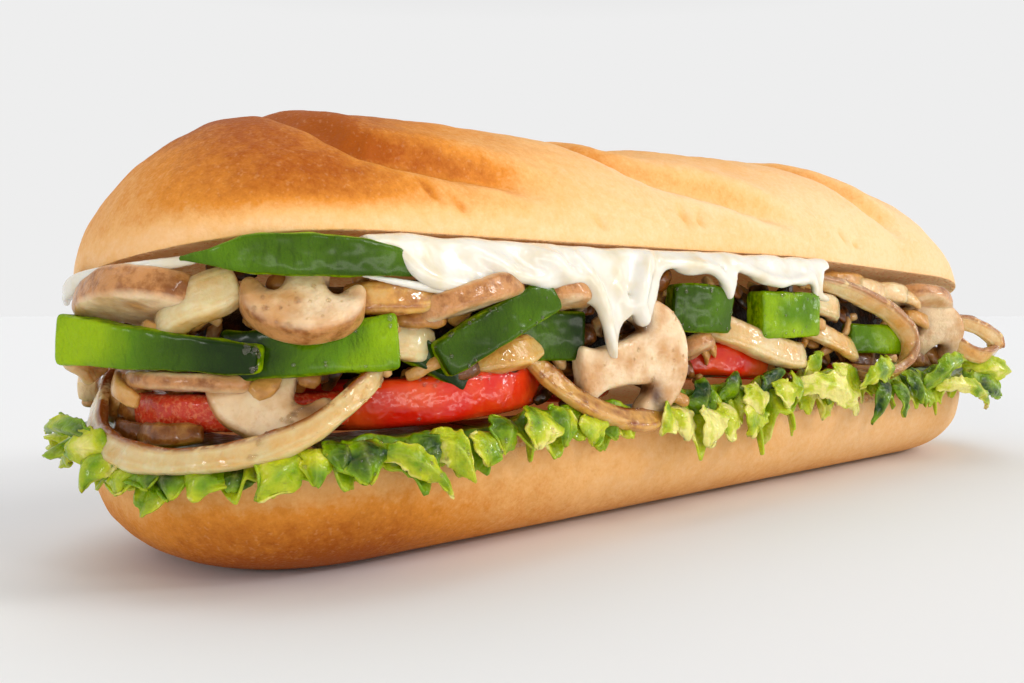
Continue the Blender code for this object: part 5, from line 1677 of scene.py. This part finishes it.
@dataclass
class Trimmings:
    """Small fried bits that fill the gaps between the shown pieces, all joined into one piece."""

    fronts: tuple[tuple[float, float], ...] = ((-176, 104), (186, 300), (-330, -206))
    gap: float = 1.25
    heights: tuple[float, float] = (30.0, 56.0)
    outs: tuple[float, float] = (-7.5, -2.6)
    tones: tuple[float, ...] = (0.08, 0.15, 0.3, 0.45, 0.6, 0.75)
    front_end: float = 180.0
    lower_behind: float = 7.0
    deeper_behind: float = 2.0
    set_by_hand: tuple[tuple[Place, Place, float, float, float], ...] = (
        ((-158, 37.4, 1.0), (-150, 33.6, 2.4), 3.4, 1.6, 0.62),
        ((-149.5, 46.4, 0.8), (-143, 45.0, 1.2), 2.6, 1.6, 0.72),
        ((-170, 50.6, 2.4), (-164, 49.4, 3.0), 4.0, 2.4, 0.40),
        ((-36, 30.4, 2.0), (-31, 28.2, 4.6), 3.0, 2.2, 0.50),
        ((-104, 47.4, -0.4), (-95, 47.2, 0.6), 3.4, 2.2, 0.45),
        ((-166, 27.6, -2.4), (-152, 27.4, -1.6), 4.0, 2.4, 0.25),
        ((-154, 27.6, -1.6), (-140, 28.0, -1.6), 4.0, 2.4, 0.35),
        ((78, 47.4, 0.6), (88, 44.2, 1.4), 4.6, 2.4, 0.62),
        ((72, 53.6, -0.6), (84, 50.4, 1.0), 4.4, 2.2, 0.78),
        ((24, 45.0, 0.2), (31, 44.6, 0.8), 3.4, 2.4, 0.66),
        ((-170, 31.6, -4.5), (-159, 30.6, -4.0), 6.0, 3.0, 0.30),
        ((-174, 36.0, -5.0), (-163, 34.6, -4.5), 6.0, 3.0, 0.40),
        ((-176, 33.0, -3.0), (-164, 30.4, -2.0), 6.0, 2.4, 0.50),
        ((94, 35.8, -3.2), (106, 32.6, -3.6), 7.0, 3.0, 0.40),
        ((52, 34.4, -4.5), (66, 32.4, -4.0), 6.0, 3.0, 0.20),
        ((84, 33.8, -5.0), (104, 33.6, -6.0), 7.0, 3.0, 0.35),
        ((88, 37.6, -5.5), (106, 37.6, -7.0), 7.0, 3.0, 0.30),
        ((48, 55.8, -2.4), (66, 53.4, -1.2), 6.0, 2.6, 0.85),
        ((62, 54.8, -3.2), (82, 53.0, -1.6), 6.0, 2.6, 0.95),
        ((40, 57.0, -4.5), (60, 56.0, -4.0), 6.0, 2.6, 0.60),
        ((84, 54.6, -2.4), (100, 52.6, -1.6), 5.4, 2.6, 0.80),
        ((-112, 50.6, -3.8), (-98, 49.4, -3.8), 5.0, 2.6, 0.60),
    )

    @staticmethod
    def bit(start: np.ndarray, end: np.ndarray, width: float, thick: float, tone: float, grain: Grain) -> Shape:
        """One bent shred from start to end, both (s, z, out), with its tone painted on."""
        share = np.linspace(0, 1, 9)
        line = start + (end - start) * share[:, None]
        line[:, 2] += 0.16 * np.linalg.norm(end - start) * np.sin(math.pi * share)
        middle = OUTLINE.spots(*line.T)
        ahead = unit(np.gradient(middle, axis=0))
        side = unit(np.cross(ahead, OUTLINE.at(np.array([start[0] * MM]))[2][0] + 0.2))
        full = np.full(len(share), 1.0) - 0.25 * (2 * share - 1) ** 4
        inward = np.cross(side, ahead)
        made = Ribbon(middle, side, inward, width * MM * full, thick * MM * full, edge=0.5 * MM, power=3.0).shape(9)
        made.paint = {"tone": np.full(len(made.points), tone)}
        return made.pushed(0.7 * MM * grain.at(made.points, 3 * MM))

    def dress(self) -> None:
        """Serves all the bits as one piece."""
        draw, grain = np.random.default_rng(11), Grain(12)
        bits = [self.bit(np.array(a), np.array(b), *shade, grain) for a, b, *shade in self.set_by_hand]
        for first, last in self.fronts:
            for s in np.arange(first, last, self.gap):
                behind = abs(s) > self.front_end
                z, out = draw.uniform(*self.heights), draw.uniform(*self.outs)
                start = np.array([s, z - self.lower_behind * behind, out - self.deeper_behind * behind])
                run = np.array([draw.uniform(-8, 8), draw.uniform(-5, 5), draw.uniform(-2, 2)])
                tone = draw.choice(self.tones)
                bits.append(self.bit(start, start + run, draw.uniform(2, 5), draw.uniform(1.2, 2.6), tone, grain))
        serve(Shape.joined(bits), "filling_trimmings", Slot.SAUTE, TrimmingsFinish())


@dataclass
class Film:
    """Thin smears of melted cheese on the left end's mushroom and between the pieces."""

    smears: tuple[tuple[tuple[float, float, float, float], ...], ...] = (
        ((-172, 51.6, 5.0, 0.8), (-168, 52.6, 6.0, 1.3), (-160, 53.8, 6.4, 1.7), (-151, 55.2, 5.2, 1.5),
         (-139, 57.4, 1.4, 0.9)),
        ((-172, 50.2, 5.6, 0.6), (-165, 51.6, 7.0, 0.9), (-157, 53.4, 6.6, 1.0), (-148, 55.2, 5.0, 0.7)),
        ((-112, 55.0, 1.4, 0.4), (-104, 53.6, 3.0, 0.8), (-97, 52.6, 3.6, 0.9)),
    )

    def dress(self) -> None:
        """Serves the smears as one piece."""
        shape = Shape.fused([cord(smear) for smear in self.smears], 0.3 * MM).smoothed(6)
        serve(shape, "cheese_film", Slot.CHEESE, CheeseFinish())


@dataclass
class Beads:
    """Drops of oil and juice that sit on the wet pieces, all joined into one piece."""

    hosts: tuple[str, ...] = (
        "tomato_middle", "tomato_right", "pepper_strip_left", "pepper_strip_inner_left", "pepper_strip_centre",
        "pepper_block_cheese", "pepper_block_bright", "onion_ring_left", "mushroom_lower_left", "onion_arc_centre",
        "mushroom_large_centre", "mushroom_upper", "onion_loop_right", "lettuce_front_left", "lettuce_front_centre",
    )
    each: int = 26
    sizes: tuple[float, float] = (0.22, 0.62)

    def dress(self) -> None:
        """Serves the drops."""
        draw, drops = np.random.default_rng(21), []
        turn = np.linspace(0, math.tau, 10, endpoint=False)
        polar = np.linspace(0, math.pi, 7)[1:-1, None]
        ball = np.stack([np.sin(polar) * np.cos(turn), np.sin(polar) * np.sin(turn), np.cos(polar) + 0 * turn], -1)
        for host in self.hosts:
            mesh = bpy.data.objects[host + LOOK].data
            points, normals = np.empty(len(mesh.vertices) * 3), np.empty(len(mesh.vertices) * 3)
            mesh.vertices.foreach_get("co", points)
            mesh.vertices.foreach_get("normal", normals)
            points, normals = points.reshape(-1, 3), normals.reshape(-1, 3)
            seen = np.flatnonzero((points[:, 1] < -34 * MM) & (normals[:, 1] < -0.25) & (normals[:, 2] > -0.3))
            for k in draw.choice(seen, min(self.each, len(seen)), replace=False):
                size = draw.uniform(*self.sizes) ** 1.4 * MM
                basis = np.array(Vector(normals[k]).to_track_quat("Z", "Y").to_matrix())
                stretch = np.array([1.0, draw.uniform(0.8, 1.5), 0.55]) * size
                ring = points[k] + (ball * stretch) @ basis.T
                poles = points[k] + (np.array([[0, 0, 1], [0, 0, -1]]) * stretch) @ basis.T
                drops.append(Shape.tube(ring, poles))
        serve(Shape.joined(drops), "juice_drops", Slot.SAUTE, JuiceFinish())


@dataclass(frozen=True)
class Sun:
    """An even light: where it comes from, its strength, how wide it looks in degrees, and its colour."""

    name: str
    towards: Place
    power: float
    angle: float
    tint: Colour = (1.0, 1.0, 1.0)

    def build(self) -> None:
        """Makes the light."""
        data = bpy.data.lights.new(self.name, "SUN")
        data.energy = self.power
        data.angle = math.radians(self.angle)
        data.color = self.tint
        obj = bpy.data.objects.new(self.name, data)
        obj.rotation_euler = (-Vector(self.towards)).to_track_quat("-Z", "Y").to_euler()
        bpy.context.scene.collection.objects.link(obj)


@dataclass
class Studio:
    """The pale floor, the soft lights and the camera."""

    lens: float = 31.64
    eye: Place = (-0.18997, -0.17480, 0.04935)
    turn: float = math.radians(39.34)
    dip: float = math.radians(-2.12)
    floor_radius: float = 6.0
    air: Colour = (0.855, 0.855, 0.855)
    high_air: Colour = (0.42, 0.42, 0.42)
    air_band: tuple[float, float] = (0.30, 0.60)
    suns: tuple[Sun, ...] = (
        Sun("key", (0.60, -0.72, 0.75), 0.62, 24, (1.0, 0.97, 0.93)),
        Sun("overhead", (-0.1, 0.35, 1.0), 0.85, 70),
        Sun("right window", (0.60, -0.68, 0.40), 0.42, 7),
        Sun("left window", (-0.93, -0.22, 0.34), 0.30, 10),
        Sun("middle window", (0.10, -0.85, 0.52), 0.20, 6),
        Sun("low window", (0.86, -0.48, 0.10), 0.16, 6),
    )
    bounce_at: Place = (-0.04, -0.34, 0.001)
    bounce_size: tuple[float, float] = (0.60, 0.22)
    bounce_power: float = 2.2

    def floor(self) -> None:
        """A wide disc at height 0."""
        angle = np.linspace(0, math.tau, 96, endpoint=False)
        ring = np.stack([np.cos(angle), np.sin(angle), 0 * angle], -1) * self.floor_radius
        mesh = bpy.data.meshes.new("floor")
        mesh.from_pydata(ring.tolist(), [], [list(range(len(ring)))])
        mesh.materials.append(FloorFinish().material())
        obj = bpy.data.objects.new("floor", mesh)
        bpy.context.scene.collection.objects.link(obj)

    def bounce(self) -> None:
        """The light that a pale table throws back up into the open side."""
        data = bpy.data.lights.new("bounce", "AREA")
        data.shape, data.size, data.size_y = "RECTANGLE", *self.bounce_size
        data.energy = self.bounce_power
        data.color = (1.0, 0.96, 0.90)
        obj = bpy.data.objects.new("bounce", data)
        obj.location = self.bounce_at
        obj.rotation_euler = (math.pi, 0, 0)
        obj.visible_camera = False
        bpy.context.scene.collection.objects.link(obj)

    def camera(self) -> None:
        """The photograph's point of view."""
        data = bpy.data.cameras.new("camera")
        data.lens = self.lens
        data.clip_start = 0.01
        obj = bpy.data.objects.new("camera", data)
        obj.location = self.eye
        level = math.cos(self.dip)
        ahead = Vector((math.sin(self.turn) * level, math.cos(self.turn) * level, math.sin(self.dip)))
        obj.rotation_euler = ahead.to_track_quat("-Z", "Y").to_euler()
        bpy.context.scene.collection.objects.link(obj)
        bpy.context.scene.camera = obj

    def build(self) -> None:
        """Sets up the whole studio."""
        bpy.context.scene.view_settings.view_transform = "Standard"
        self.world()
        self.floor()
        self.camera()
        for sun in self.suns:
            sun.build()
        self.bounce()

    def world(self) -> None:
        """Bright air at the horizon, dimmer higher up."""
        world = bpy.data.worlds.new("air")
        world.use_nodes = True
        tree = world.node_tree
        place = tree.nodes.new("ShaderNodeTexCoord")
        apart = tree.nodes.new("ShaderNodeSeparateXYZ")
        ramp = tree.nodes.new("ShaderNodeValToRGB")
        tree.links.new(place.outputs["Generated"], apart.inputs[0])
        tree.links.new(apart.outputs["Z"], ramp.inputs[0])
        tree.links.new(ramp.outputs["Color"], tree.nodes["Background"].inputs["Color"])
        low, high = ramp.color_ramp.elements
        low.position, low.color = self.air_band[0], (*self.air, 1)
        high.position, high.color = self.air_band[1], (*self.high_air, 1)
        bpy.context.scene.world = world


def main() -> None:
    """Builds the studio and the sandwich piece by piece."""
    logging.basicConfig(level=logging.INFO, format="%(message)s")
    Studio().build()
    bread, salad = (TopHalf(), BottomHalf()), (Lettuce(), Tomatoes())
    fried, melted = (Saute(), Peppers(), Mushrooms(), Onions(), Trimmings()), (Cheese(), Film())
    for part in (*bread, *salad, *fried, *melted, Beads()):
        part.dress()


if __name__ == "__main__":
    main()
